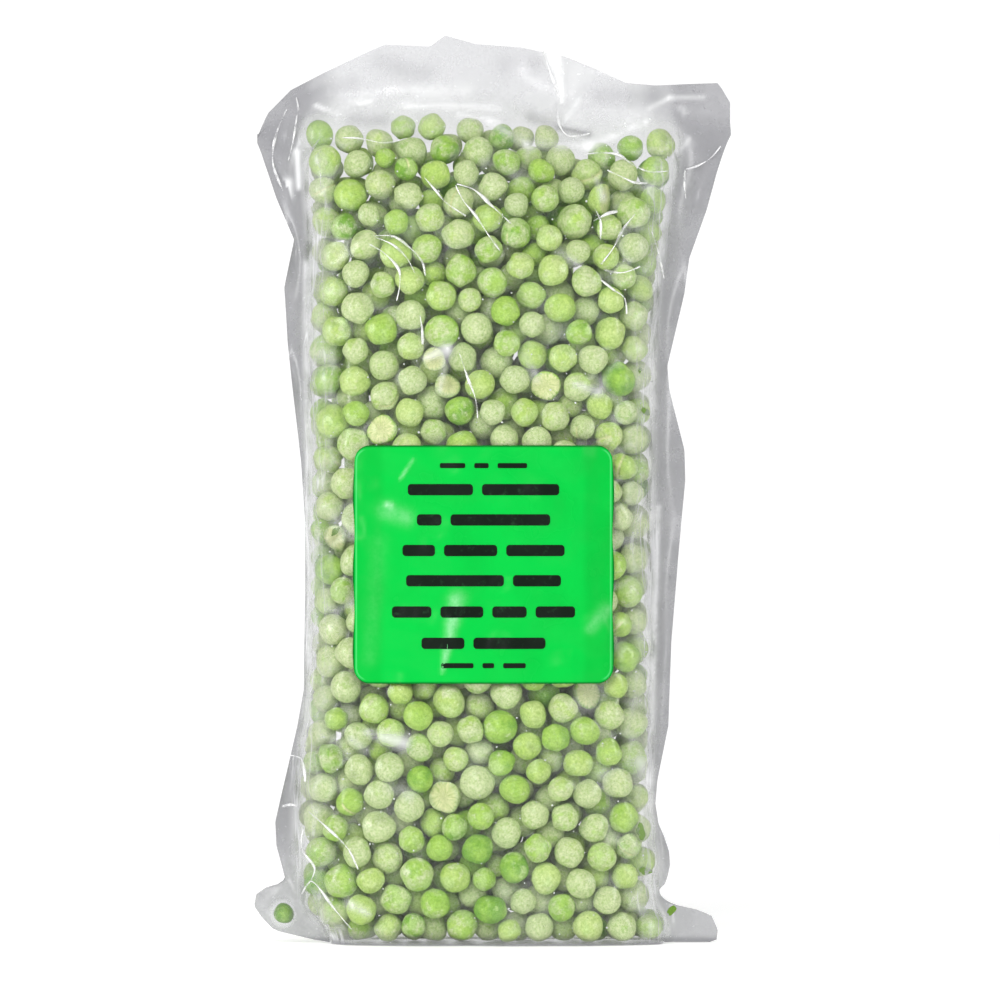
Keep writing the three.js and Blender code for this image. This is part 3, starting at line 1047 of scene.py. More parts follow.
def film_shell(film: Film, middle_rows: int = 10) -> Shell:
    """The two sheets and the underside between them as one closed shell.

    Args:
        film: the film, sucked down.
        middle_rows: rows of points in the underside.

    Returns:
        The shell, with how far the film is off the peas as "gap".
    """
    front, back = film.places
    rows, columns = front.shape[:2]
    number = np.arange(2 * rows * columns).reshape(2, rows, columns)
    number[1, :, 0], number[1, :, -1], number[1, -1] = number[0, :, 0], number[0, :, -1], number[0, -1]
    share = np.linspace(0, 1, middle_rows + 2)[1:-1, None, None]
    under = front[0] * (1 - share) + back[0] * share
    extra = 2 * rows * columns + np.arange(middle_rows * columns).reshape(middle_rows, columns)
    extra[:, 0], extra[:, -1] = number[0, 0, 0], number[0, 0, -1]
    strip = np.concatenate([number[1, :1], extra[::-1], number[0, :1]])
    points = np.concatenate([front.reshape(-1, 3), back.reshape(-1, 3), under.reshape(-1, 3)])
    gap = np.concatenate([film.gap.ravel(), np.full(middle_rows * columns, 0.5 * MM)])
    faces = []
    for grid, turned in ((number[0], False), (number[1], True), (strip, False)):
        faces.append(woven(grid)[:, ::-1] if turned else woven(grid))
    faces = np.concatenate(faces)
    whole = (faces[:, 0] != faces[:, 1]) & (faces[:, 1] != faces[:, 2]) & (faces[:, 0] != faces[:, 2])
    used, faces = np.unique(faces[whole], return_inverse=True)
    rim = np.zeros(len(points), bool)
    rim[np.concatenate([number[0, :, 0], number[0, :, -1], number[0, -1]])] = True
    return Shell(points[used], faces.reshape(-1, 3), {"gap": gap[used]}, rim=rim[used]).facing_out()


# ---- The label, the folds and the crumbs ----------------------------------------------------


@dataclass
class Front:
    """How far forward the front sheet stands at (x, z), on a raster, to lay things on it."""

    film: Film
    pitch: float = 0.5 * MM
    finer: int = 3  # points of the raster's source for each cell of the film
    x_from: float = -0.072
    z_from: float = 0.0
    size: tuple[int, int] = (289, 535)
    taut: float = 2.6 * MM  # hollows narrower than twice this are bridged
    raw: Array = field(init=False)
    bridged: Array = field(init=False)

    def __post_init__(self) -> None:
        """Reads the film's front off on the raster: the foremost of the points that fall in each cell."""
        sheet = self.film.places[:1]
        rows, columns = sheet.shape[1:3]
        dense = Film.finer(sheet, (rows * self.finer, columns * self.finer))[0].reshape(-1, 3)
        i, j = self.cell(dense[:, 0], dense[:, 2])
        forward = np.full(self.size, -1.0)
        np.maximum.at(forward, (i.round().astype(int), j.round().astype(int)), -dense[:, 1])
        empty = forward < -0.5
        forward[empty] = self.widest(forward, 2)[empty]
        self.raw = np.maximum(forward, -0.01)
        reach = int(self.taut / self.pitch)
        self.bridged = self.blurred(self.widest(self.raw, reach), reach)

    def cell(self, x: Array, z: Array) -> tuple[Array, Array]:
        """The raster's cell numbers, with parts, of places."""
        i = np.clip((x - self.x_from) / self.pitch, 0, self.size[0] - 1.001)
        j = np.clip((z - self.z_from) / self.pitch, 0, self.size[1] - 1.001)
        return i, j

    @staticmethod
    def widest(values: Array, reach: int) -> Array:
        """The largest value within a disc round each cell.

        Args:
            values: the raster's values.
            reach: the disc's radius in cells.

        Returns:
            The new values.
        """
        out = values.copy()
        for di in range(-reach, reach + 1):
            for dj in range(-reach, reach + 1):
                if di * di + dj * dj <= reach * reach + 1:
                    out = np.maximum(out, np.roll(values, (di, dj), (0, 1)))
        return out

    @staticmethod
    def blurred(values: Array, reach: int) -> Array:
        """Values smoothed by a bell curve whose spread is about reach cells.

        Args:
            values: the raster's values.
            reach: the spread in cells.

        Returns:
            The new values.
        """
        away = np.arange(-2 * reach, 2 * reach + 1)
        weights = np.exp(-0.5 * (away / (0.7 * reach)) ** 2)
        weights /= weights.sum()
        for axis in (0, 1):
            values = sum(weight * np.roll(values, shift, axis) for shift, weight in zip(away, weights))
        return values

    def read(self, values: Array, x: Array, z: Array) -> Array:
        """The raster's value at places, between the four cells round each.

        Args:
            values: the raster's values.
            x, z: places.

        Returns:
            The value at each place.
        """
        i, j = self.cell(x, z)
        a, b = i.astype(int), j.astype(int)
        s, t = i - a, j - b
        low = values[a, b] * (1 - s) + values[a + 1, b] * s
        return low * (1 - t) + (values[a, b + 1] * (1 - s) + values[a + 1, b + 1] * s) * t

    def ahead(self, x: Array, z: Array, lift: float) -> Array:
        """How far forward something is that lies over the film's hollows, at least lift in front of it."""
        return np.maximum(self.read(self.bridged, x, z), self.read(self.raw, x, z)) + lift


@dataclass(frozen=True)
class Patch:
    """A thin sheet with rounded corners, laid on the front of the film."""

    centre: tuple[float, float]
    size: tuple[float, float]
    corner: float
    lift: float
    thick: float
    cell: float = 0.8 * MM
    corner_rows: int = 7
    rim: float = 0.05 * MM  # width of the first ring of faces, which keeps the rest flat
    wavy: float = 0.0  # how much the upright edges wander inwards

    def shell(self, front: Front, crease: Callable[[Array, Array], Array]) -> Shell:
        """The sheet as a closed shell, with each point's distance from its outline as "inset".

        Args:
            front: the surface that it lies on.
            crease: how far the creases stand forward at (x, z).

        Returns:
            The shell, with how far across each point is as "across".
        """
        half_x, half_z = self.size[0] / 2, self.size[1] / 2
        turn = self.corner * (1 - np.cos(np.linspace(0, math.pi / 2, self.corner_rows)))
        inner = np.linspace(self.corner, 2 * half_z - self.corner,
                            max(2, int((2 * half_z - 2 * self.corner) / self.cell) + 1))[1:-1]
        turn = np.insert(turn, 1, min(self.rim, 0.5 * turn[1]))
        rise = np.concatenate([turn, inner, 2 * half_z - turn[::-1]])
        end = np.minimum(rise, 2 * half_z - rise)
        narrow = self.corner - np.sqrt(np.maximum(self.corner**2 - np.maximum(self.corner - end, 0) ** 2, 0))
        columns = max(4, int(2 * half_x / self.cell))
        half = (half_x - narrow - self.wavy * (0.5 + 0.5 * np.sin(rise / (3.6 * MM) + 2.0)))[:, None]
        across = np.linspace(-1, 1, columns)[None] * (half - self.rim)
        across = np.concatenate([-half, across, half], 1)
        columns += 2
        x = self.centre[0] + across
        z = self.centre[1] - half_z + rise[:, None] + 0 * x
        out_x = np.abs(across) - (half_x - self.corner)
        out_z = np.abs(z - self.centre[1]) - (half_z - self.corner)
        inset = self.corner - np.hypot(np.maximum(out_x, 0), np.maximum(out_z, 0)) - np.minimum(
            np.maximum(out_x, out_z), 0)
        ahead = front.ahead(x, z, self.lift) + crease(x, z)
        rows = len(rise)
        top = np.stack([x, -ahead, z], -1).reshape(-1, 3)
        below = np.stack([x, self.thick - ahead, z], -1).reshape(-1, 3)
        number = np.arange(rows * columns).reshape(rows, columns)
        loop = np.concatenate([number[0, :-1], number[:-1, -1], number[-1, :0:-1], number[:0:-1, 0]])
        after = np.roll(loop, -1)
        count = rows * columns
        sides = halved(loop, loop + count, after + count, after)
        face = woven(number)
        both = {name: np.tile(values.ravel(), 2) for name, values in (("inset", inset), ("across", across))}
        return Shell(np.concatenate([top, below]), np.concatenate([face, face[:, ::-1] + count, sides]),
                     both).facing_out()


@dataclass(frozen=True)
class Stroke:
    """A soft-edged stroke at (x, z) in millimetres, with a half width at each end. Strokes draw creases,
    painted highlights and painted shades.
    """

    low: tuple[float, float]
    high: tuple[float, float]
    widths: tuple[float, float]
    strength: float
    worn: float = 0.0  # how much painted highlight a crease lays on the label, as paler colour

    def __call__(self, x: Array, z: Array) -> Array:
        """Its strength at (x, z)."""
        (x0, z0), (x1, z1) = self.low, self.high
        dx, dz = (x1 - x0) * MM, (z1 - z0) * MM
        t = ((x - x0 * MM) * dx + (z - z0 * MM) * dz) / (dx * dx + dz * dz)
        held = np.clip(t, 0, 1)
        far = np.hypot(x - x0 * MM - held * dx, z - z0 * MM - held * dz)
        width = (self.widths[0] * (1 - held) + self.widths[1] * held) * MM
        return self.strength * np.exp(-((far / width) ** 2))


# Painted highlights: strokes of white milk on the front film where it would mirror the soft boxes.
PAINTED_HIGHLIGHTS = (
    Stroke((-36.5, 62.5), (-26.0, 59.5), (1.0, 2.2), 0.42),
    Stroke((-41.5, 60.5), (-37.0, 57.0), (0.9, 1.3), 0.24),
    Stroke((-42.0, 12.5), (-36.5, 9.5), (1.4, 1.0), 0.50),
    Stroke((-30.5, 47.0), (-24.0, 44.0), (1.8, 1.8), 0.14),
    Stroke((-19.5, 171.5), (-13.0, 174.5), (0.9, 1.9), 0.34),
    Stroke((-13.0, 174.5), (-15.5, 162.0), (1.1, 0.7), 0.20),
    Stroke((9.5, 172.0), (13.0, 165.5), (1.5, 1.2), 0.28),
    Stroke((24.0, 164.0), (31.0, 161.5), (0.9, 1.5), 0.30),
    Stroke((19.5, 202.5), (25.0, 198.5), (1.2, 1.0), 0.32),
    Stroke((30.5, 224.0), (32.0, 218.0), (0.8, 1.2), 0.30),
    Stroke((43.0, 53.5), (46.0, 47.5), (2.0, 1.4), 0.22),
    Stroke((-57.5, 232.5), (-57.0, 222.0), (1.0, 0.8), 0.25),
    Stroke((-60.3, 223.5), (-60.3, 220.0), (1.6, 1.6), 0.25),
    Stroke((-27.0, 246.0), (2.0, 245.4), (0.9, 0.9), 0.22),
    Stroke((-22.0, 250.5), (-8.0, 250.5), (2.2, 2.2), 0.15),
    Stroke((-42.0, 247.0), (-36.0, 247.0), (0.8, 0.8), 0.25),
    Stroke((-10.0, 243.4), (2.1, 241.2), (0.8, 0.8), 0.24),
    Stroke((-52.0, 246.2), (-46.0, 243.6), (0.8, 0.8), 0.22),
    Stroke((20.4, 247.5), (17.6, 261.8), (0.6, 2.2), 0.55),
    Stroke((23.0, 250.0), (25.0, 257.0), (1.5, 3.5), 0.12),
    Stroke((20.3, 240.5), (25.3, 247.8), (0.8, 0.8), 0.16),
    Stroke((-0.9, 240.8), (10.3, 234.6), (1.2, 1.5), 0.26),
    Stroke((10.3, 234.6), (28.2, 233.9), (1.5, 1.6), 0.30),
    Stroke((28.2, 233.9), (45.0, 241.0), (1.6, 1.0), 0.26),
    Stroke((45.9, 245.2), (52.0, 248.4), (0.9, 0.9), 0.16),
    Stroke((52.0, 248.4), (62.0, 248.6), (0.9, 0.9), 0.16),
    Stroke((55.3, 245.5), (64.7, 234.3), (0.9, 0.8), 0.16),
    Stroke((54.0, 232.0), (61.0, 240.0), (0.9, 0.8), 0.14),
    Stroke((62.4, 101.0), (64.0, 96.5), (1.2, 0.8), 0.45),
    Stroke((48.5, 128.0), (46.5, 62.0), (1.0, 1.0), 0.20),
    Stroke((-55.0, 200.0), (-54.0, 80.0), (0.9, 0.9), 0.16),
)
# Painted shades: strokes of grey milk in the header where its folds and dips would be darker.
PAINTED_SHADES = (
    Stroke((19.3, 239.6), (28.2, 237.8), (0.9, 0.9), 0.30),
    Stroke((-41.0, 241.6), (-32.0, 241.4), (2.6, 2.6), 0.16),
    Stroke((11.0, 242.5), (18.0, 240.5), (1.8, 1.8), 0.16),
    Stroke((-60.0, 246.0), (-42.0, 252.5), (3.0, 3.0), 0.08),
    Stroke((4.0, 258.0), (12.0, 258.5), (4.0, 3.5), 0.10),
    Stroke((32.0, 249.0), (46.0, 249.0), (3.5, 3.5), 0.10),
    Stroke((-33.0, 259.0), (-20.0, 255.0), (3.0, 4.0), 0.08),
)


@dataclass(frozen=True)
class Label:
    """The green sticker, which bridges the hollows between the peas, and its rows of dark bars."""

    corner: float = 4.5 * MM
    lift: float = 0.1 * MM
    thick: float = 0.12 * MM
    print_lift: float = 0.05 * MM
    print_thick: float = 0.04 * MM
    space: float = 2.6 * MM  # between two bars
    creases: tuple[Stroke, ...] = (  # their strengths are their heights in mm, and the last number, where given, is how much painted highlight it carries
        Stroke((-14.6, 80.5), (-10.5, 101), (0.6, 2.2), 0.5, 0.5),
        Stroke((-26.8, 136.5), (-23.2, 142.0), (0.45, 0.45), 0.2, 0.35),
        Stroke((28.6, 93.0), (33.0, 98.0), (1.6, 2.2), 0.45, 0.2),
        Stroke((-31.0, 128.8), (-30.0, 128.6), (0.7, 0.9), 0.3, 0.7),
        Stroke((-31.0, 127.0), (-25.0, 125.0), (2.6, 2.2), 0.5, 0.22),
        Stroke((23.5, 84.0), (23.0, 138.0), (0.8, 0.8), 0.1),
        Stroke((-36.0, 84.0), (-33.0, 118.0), (2.2, 2.6), 0.4, 0.05),
    )
    # Each row of bars: its height over the label's middle, how high the bars are, and their lengths, in mm.
    rows: tuple[tuple[float, float, tuple[float, ...]], ...] = (
        (28.8, 1.5, (7.4, 4.2, 8.6)),
        (21.8, 3.3, (19.0, 22.5)),
        (13.0, 3.3, (7.2, 29.0)),
        (4.1, 3.3, (9.5, 15.5, 17.0)),
        (-4.7, 3.3, (28.5, 14.0)),
        (-13.8, 3.3, (11.5, 12.5, 10.0, 11.5)),
        (-22.9, 3.3, (12.5, 21.0)),
        (-29.4, 1.5, (9.4, 3.4, 6.6)),
    )

    def crease(self, x: Array, z: Array) -> Array:
        """How far all the creases stand forward at (x, z)."""
        return sum(one(x, z) for one in self.creases) * MM

    def worn(self, x: Array, z: Array) -> Array:
        """How much painted highlight the creases lay on the sheet at (x, z)."""
        return sum(one.worn / one.strength * one(x, z) for one in self.creases)

    def build(self, front: Front) -> None:
        """Lays the sticker and its bars on the film."""
        low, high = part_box("label")
        centre = ((low[0] + high[0]) / 2, (low[2] + high[2]) / 2)
        size = (high[0] - low[0], high[2] - low[2])
        sheet = Patch(centre, size, self.corner, self.lift + self.thick, self.thick, wavy=0.5 * MM)
        shell = sheet.shell(front, self.crease)
        # painted highlight along the creases, as paler colour
        shell.floats["worn"] = self.worn(shell.points[:, 0], shell.points[:, 2])
        shell.piece("label_sheet", "label", "label", LabelFinish().material())
        bars = []
        for rise, tall, lengths in self.rows:
            spaces = self.space * (len(lengths) - 1)
            x = centre[0] - (sum(lengths) * MM + spaces) / 2
            for length in lengths:
                middle = (x + length * MM / 2, centre[1] + rise * MM)
                bar = Patch(middle, (length * MM, tall * MM), 0.3 * tall * MM,
                            self.lift + self.thick + self.print_lift, self.print_thick, corner_rows=4)
                bars.append(bar.shell(front, self.crease))
                x += length * MM + self.space
        Shell.joined(bars).piece("label_print", "label_print", "label", PrintFinish().material())


@dataclass(frozen=True)
class Folds:
    """The sharp folds of the front film, as thin ridges that lie on it."""

    sides: int = 6
    pitch: float = 0.5 * MM
    sunk: float = 0.1 * MM
    widen: float = 1.3
    # Each fold's points (x, z) and its half width, in mm.
    lines: tuple[tuple[Table, float], ...] = (
        (((-10.5, 222.4), (-5.6, 220.8), (-0.3, 216.0), (5.3, 210.8)), 0.42),
        (((-10.8, 222.0), (-8.5, 217.4), (-5.2, 213.4), (-1.0, 207.0), (2.1, 202.8)), 0.34),
        (((-20.0, 224.4), (-16.9, 220.8), (-13.6, 216.9), (-7.9, 213.1)), 0.3),
        (((-34.4, 207.2), (-28.9, 207.0), (-24.1, 203.6), (-20.6, 199.7), (-19.7, 195.5)), 0.34),
        (((-34.1, 206.7), (-29.2, 204.6), (-25.0, 200.6), (-22.8, 196.4)), 0.3),
        (((-36.2, 204.9), (-31.6, 202.1), (-27.4, 197.3), (-27.1, 192.8), (-28.0, 188.3)), 0.34),
        (((-21.2, 184.0), (-20.6, 180.2), (-20.4, 175.5)), 0.36),
        (((27.0, 231.4), (30.6, 231.9), (36.6, 231.4), (41.0, 228.4), (45.6, 226.4), (51.5, 226.6)), 0.32),
        (((33.5, 226.7), (38.0, 224.6), (41.6, 223.0), (45.3, 223.0)), 0.34),
        (((29.8, 215.2), (31.4, 211.6), (31.4, 206.2)), 0.3),
        (((29.4, 211.6), (33.6, 213.8), (36.4, 214.4)), 0.42),
        (((41.6, 213.8), (38.0, 209.2), (35.2, 203.8), (31.5, 198.9)), 0.36),
        (((32.5, 197.2), (37.8, 196.5), (43.0, 198.4)), 0.34),
        (((31.4, 194.4), (35.0, 191.6), (38.4, 189.0), (39.0, 184.4)), 0.32),
        (((46.5, 208.6), (48.6, 202.0), (50.2, 195.0)), 0.3),
        (((-9.7, 172.9), (-7.4, 166.0), (-5.0, 159.5), (-4.4, 154.0)), 0.3),
        (((-60.6, 245.0), (-63.9, 237.0), (-64.6, 229.0), (-61.6, 221.0)), 0.36),
        (((-57.5, 243.4), (-58.6, 236.0), (-60.0, 230.0)), 0.26),
        (((14.8, 262.0), (17.4, 254.6), (20.4, 247.2)), 0.4),
        (((19.0, 244.6), (19.6, 240.2), (22.2, 237.0), (28.4, 237.8)), 0.34),
        (((-44.2, 236.4), (-39.1, 236.2), (-31.6, 234.8), (-25.0, 236.2)), 0.26),
        (((-57.8, 248.6), (-57.4, 246.6), (-57.2, 244.6)), 0.3),
        (((56.7, 227.3), (60.6, 228.6), (64.4, 231.1), (67.0, 234.3)), 0.28),
        (((56.4, 227.0), (56.2, 222.8), (56.7, 218.7)), 0.26),
        (((-59.7, 55.3), (-55.9, 54.4), (-54.8, 47.9)), 0.4),
        (((-61.7, 40.3), (-59.5, 40.9), (-57.3, 40.7)), 0.4),
        (((-53.8, 39.2), (-48.0, 34.4), (-42.1, 28.5), (-39.2, 22.6)), 0.34),
        (((-55.9, 14.8), (-52.9, 18.8), (-46.2, 10.9), (-41.2, 5.0)), 0.34),
        (((-55.3, 34.4), (-55.9, 28.5), (-52.0, 22.6), (-53.9, 17.8)), 0.3),
    )

    def build(self, front: Front) -> None:
        """Adds all the folds as one piece."""
        shells = [self.ridge(front, points, self.widen * width * MM) for points, width in self.lines]
        Shell.joined(shells).piece("film_folds", "film", "bag", FoldFinish().material())

    def ridge(self, front: Front, points: Table, width: float) -> Shell:
        """One fold: a tube along its line that thins out to nothing at both ends.

        Args:
            front: the surface that it lies on.
            points: its line (x, z) in mm.
            width: its half width.

        Returns:
            The closed tube.
        """
        spots = np.array(points)
        run = np.concatenate([[0], np.cumsum(np.hypot(*np.diff(spots, axis=0).T))])
        at = np.linspace(0, run[-1] * MM, max(6, int(run[-1] * MM / self.pitch)))
        x = Curve(tuple(zip(run, spots[:, 0])))(at)
        z = Curve(tuple(zip(run, spots[:, 1])))(at)
        y = self.sunk - front.ahead(x, z, 0.0)
        line = np.stack([x, np.convolve(np.pad(y, 2, "edge"), np.ones(5) / 5, "valid"), z], -1)
        way = np.gradient(line, axis=0)
        way /= np.linalg.norm(way, axis=1, keepdims=True)
        side = np.cross(way, (0.0, -1.0, 0.0))
        side /= np.linalg.norm(side, axis=1, keepdims=True)
        up = np.cross(side, way)
        wide = width * np.sqrt(np.sin(np.linspace(0, math.pi, len(line) + 2)[1:-1]))
        wide *= 0.75 + 0.4 * np.sin(at / (1.7 * MM) + spots[0, 0])
        turn = np.arange(self.sides) * 2 * math.pi / self.sides
        ring = (np.cos(turn)[None, :, None] * side[:, None] + np.sin(turn)[None, :, None] * up[:, None])
        body = (line[:, None] + ring * wide[:, None, None]).reshape(-1, 3)
        count = len(body)
        number = np.arange(count).reshape(-1, self.sides)
        after = np.roll(number, -1, 1)
        faces = [halved(number[:-1], after[:-1], after[1:], number[1:])]
        first, last = number[0], number[-1]
        faces.append(np.stack([np.full(self.sides, count), np.roll(first, -1), first], -1))
        faces.append(np.stack([np.full(self.sides, count + 1), last, np.roll(last, -1)], -1))
        return Shell(np.concatenate([body, line[:1], line[-1:]]), np.concatenate(faces)).facing_out()


@dataclass(frozen=True)
class Crumbs:
    """The small things between the peas and the film: ice crystals and scraps of skin."""

    crystals: int = 1100
    crystal_radius: tuple[float, float] = (0.12 * MM, 0.4 * MM)
    hollow: tuple[float, float] = (0.7 * MM, 3.0 * MM)  # gaps under the film where crystals lie
    behind: float = 0.3 * MM  # the film
    # Each scrap's place (x, z), its length and how far it is behind the film, in mm.
    scraps: tuple[tuple[float, float, float, float], ...] = (
        (43.2, 33.2, 4.4, 0.35), (44.7, 21.5, 3.6, 0.35), (52.6, 9.7, 3.0, 0.06), (43.0, 168.2, 1.8, 0.35),
        (44.8, 156.0, 2.8, 0.35), (-46.0, 121.0, 2.6, 0.35),
    )

    def build_ice(self, rng: np.random.Generator, film: Film) -> None:
        """Scatters crystals in the hollows under both sheets.

        Args:
            rng: the source of the crystals.
            film: the film, sucked down.
        """
        spots = film.places[(film.gap > self.hollow[0]) & (film.gap < self.hollow[1])]
        spots = spots[rng.permutation(len(spots))[:self.crystals]]
        way = -spots * (1, 1, 0)  # towards the bag's upright middle line
        way /= np.linalg.norm(way, axis=1, keepdims=True)
        ball, faces = geodesic(1)
        size = np.exp(rng.uniform(*np.log(self.crystal_radius), len(spots)))
        turns = random_turns(rng, len(spots)) * rng.uniform(0.5, 1.2, (len(spots), 1, 3))
        points = spots[:, None] + way[:, None] * (self.behind + size[:, None, None]) + np.einsum(
            "pij,vj->pvi", turns, ball) * size[:, None, None]
        points[..., 2] = np.maximum(points[..., 2], film.floor)
        faces = faces[None] + (np.arange(len(spots)) * len(ball))[:, None, None]
        shell = Shell(points.reshape(-1, 3), faces.reshape(-1, 3))
        shell.piece("ice", "bag_of_peas", "bag", IceFinish().material())

    def build_scraps(self, rng: np.random.Generator, front: Front, finish: bpy.types.Material) -> None:
        """Adds scraps of pea skin just behind the front film: flat ovals, bent and uneven.

        Args:
            rng: the source of their shapes.
            front: the film's front.
            finish: the peas' material.
        """
        ball, faces = geodesic(5)
        shells = []
        for x, z, length, behind in self.scraps:
            own = ball * (0.5, 0.02, 0.3) * length * MM
            own *= 1 + 0.18 * ripples(rng, ball, 1.4, 6)[:, None]
            turn = rng.uniform(0, math.pi)
            cos, sin = math.cos(turn), math.sin(turn)
            spun = own @ np.array([[cos, 0, sin], [0, 1, 0], [-sin, 0, cos]])
            spun += (x * MM, behind * MM, z * MM)
            spun[:, 1] -= front.read(front.raw, spun[:, 0], spun[:, 2])
            one = np.ones(len(ball))
            shells.append(Shell(spun, faces, {"ripeness": 0 * one, "frost": 0 * one, "flesh": -one},
                                vectors={"skin": ball + rng.uniform(0, 60, 3)}))
        Shell.joined(shells).piece("skin_scraps", "bag_of_peas", "bag", finish)


# ---- Finishes -------------------------------------------------------------------------------

Colour = tuple[float, float, float]


@dataclass(frozen=True)
class Wire:
    """A number that a node gives. Python's operators on it add Math nodes."""

    graph: "Graph"
    socket: bpy.types.NodeSocket

    def __add__(self, other: "Wire | float") -> "Wire":
        """This number plus another."""
        return self.graph.math("ADD", self, other)

    def __radd__(self, other: float) -> "Wire":
        """A plain number plus this one."""
        return self.graph.math("ADD", other, self)

    def __sub__(self, other: "Wire | float") -> "Wire":
        """This number less another."""
        return self.graph.math("SUBTRACT", self, other)

    def __rsub__(self, other: float) -> "Wire":
        """A plain number less this one."""
        return self.graph.math("SUBTRACT", other, self)

    def __mul__(self, other: "Wire | float") -> "Wire":
        """This number times another."""
        return self.graph.math("MULTIPLY", self, other)

    def __rmul__(self, other: float) -> "Wire":
        """A plain number times this one."""
        return self.graph.math("MULTIPLY", other, self)

    def step(self, low: float, high: float) -> "Wire":
        """0 below low, 1 above high, and a smooth step between them."""
        node = self.graph.node("ShaderNodeMapRange", {"interpolation_type": "SMOOTHSTEP"},
                               {"Value": self, "From Min": low, "From Max": high})
        return Wire(self.graph, node.outputs["Result"])


class Graph:
    """The nodes of a material or of the world."""

    def __init__(self, name: str, tree: bpy.types.NodeTree | None = None) -> None:
        """Starts an empty graph.

        Args:
            name: the new material's name.
            tree: the world's nodes, where no material is made.
        """
        if tree is None:
            self.material = bpy.data.materials.new(name)
            self.material.use_nodes = True
            tree = self.material.node_tree
        self.tree = tree
        self.tree.nodes.clear()

    def node(self, kind: str, settings: dict[str, Any], inputs: dict[str | int, Any]) -> bpy.types.Node:
        """Adds a node.

        Args:
            kind: the node's type.
            settings: its own settings, which are set first; "stops" are a ramp's (place, colour) pairs.
            inputs: the links or plain values of its sockets, by name or number.

        Returns:
            The node.
        """
        made = self.tree.nodes.new(kind)
        for key, value in settings.items():
            if key != "stops":
                setattr(made, key, value)
                continue
            stops = made.color_ramp.elements
            while len(stops) < len(value):
                stops.new(0.5)
            for stop, (place, colour) in zip(stops, value):
                stop.position = place
                stop.color = (*colour, 1)
        for key, value in inputs.items():
            if isinstance(value, Wire):
                value = value.socket
            if isinstance(value, bpy.types.NodeSocket):
                self.tree.links.new(value, made.inputs[key])
            else:
                if made.inputs[key].type == "RGBA" and len(value) == 3:
                    value = (*value, 1)
                made.inputs[key].default_value = value
        return made

    def math(self, operation: str, *values: "Wire | float") -> Wire:
        """A Math node on numbers."""
        node = self.node("ShaderNodeMath", {"operation": operation}, dict(enumerate(values)))
        return Wire(self, node.outputs[0])

    def attribute(self, name: str, output: str = "Fac") -> Wire:
        """One of the piece's own values."""
        return Wire(self, self.node("ShaderNodeAttribute", {"attribute_name": name}, {}).outputs[output])

    def mix(self, low: Any, high: Any, share: Wire | float, blend: str = "MIX") -> Wire:
        """A colour between two others, or two blended."""
        node = self.node("ShaderNodeMix", {"data_type": "RGBA", "blend_type": blend},
                         {0: share, 6: low, 7: high})
        return Wire(self, node.outputs[2])

    def ramp(self, value: Wire, stops: Sequence[tuple[float, Colour]]) -> Wire:
        """A colour read off a ramp."""
        node = self.node("ShaderNodeValToRGB", {"stops": stops}, {"Fac": value})
        return Wire(self, node.outputs["Color"])

    def noise(self, where: Wire, scale: float, detail: float = 2.0, rough: float = 0.5) -> Wire:
        """A cloudy number from 0 to 1 at a place."""
        node = self.node("ShaderNodeTexNoise", {},
                         {"Vector": where, "Scale": scale, "Detail": detail, "Roughness": rough})
        return Wire(self, node.outputs["Fac"])

    def place(self) -> Wire:
        """The place on the piece, in metres."""
        return Wire(self, self.node("ShaderNodeTexCoord", {}, {}).outputs["Object"])

    def bump(self, height: Wire, strength: float, distance: float) -> Wire:
        """A normal tilted by a height."""
        node = self.node("ShaderNodeBump", {}, {"Height": height, "Strength": strength, "Distance": distance})
        return Wire(self, node.outputs["Normal"])

    def shader(self, kind: str, inputs: dict[str | int, Any]) -> bpy.types.NodeSocket:
        """A shader node's output."""
        return self.node(kind, {}, inputs).outputs[0]

    def finish(self, surface: bpy.types.NodeSocket) -> bpy.types.Material:
        """Ends the graph with its surface."""
        self.node("ShaderNodeOutputMaterial", {}, {"Surface": surface})
        return self.material


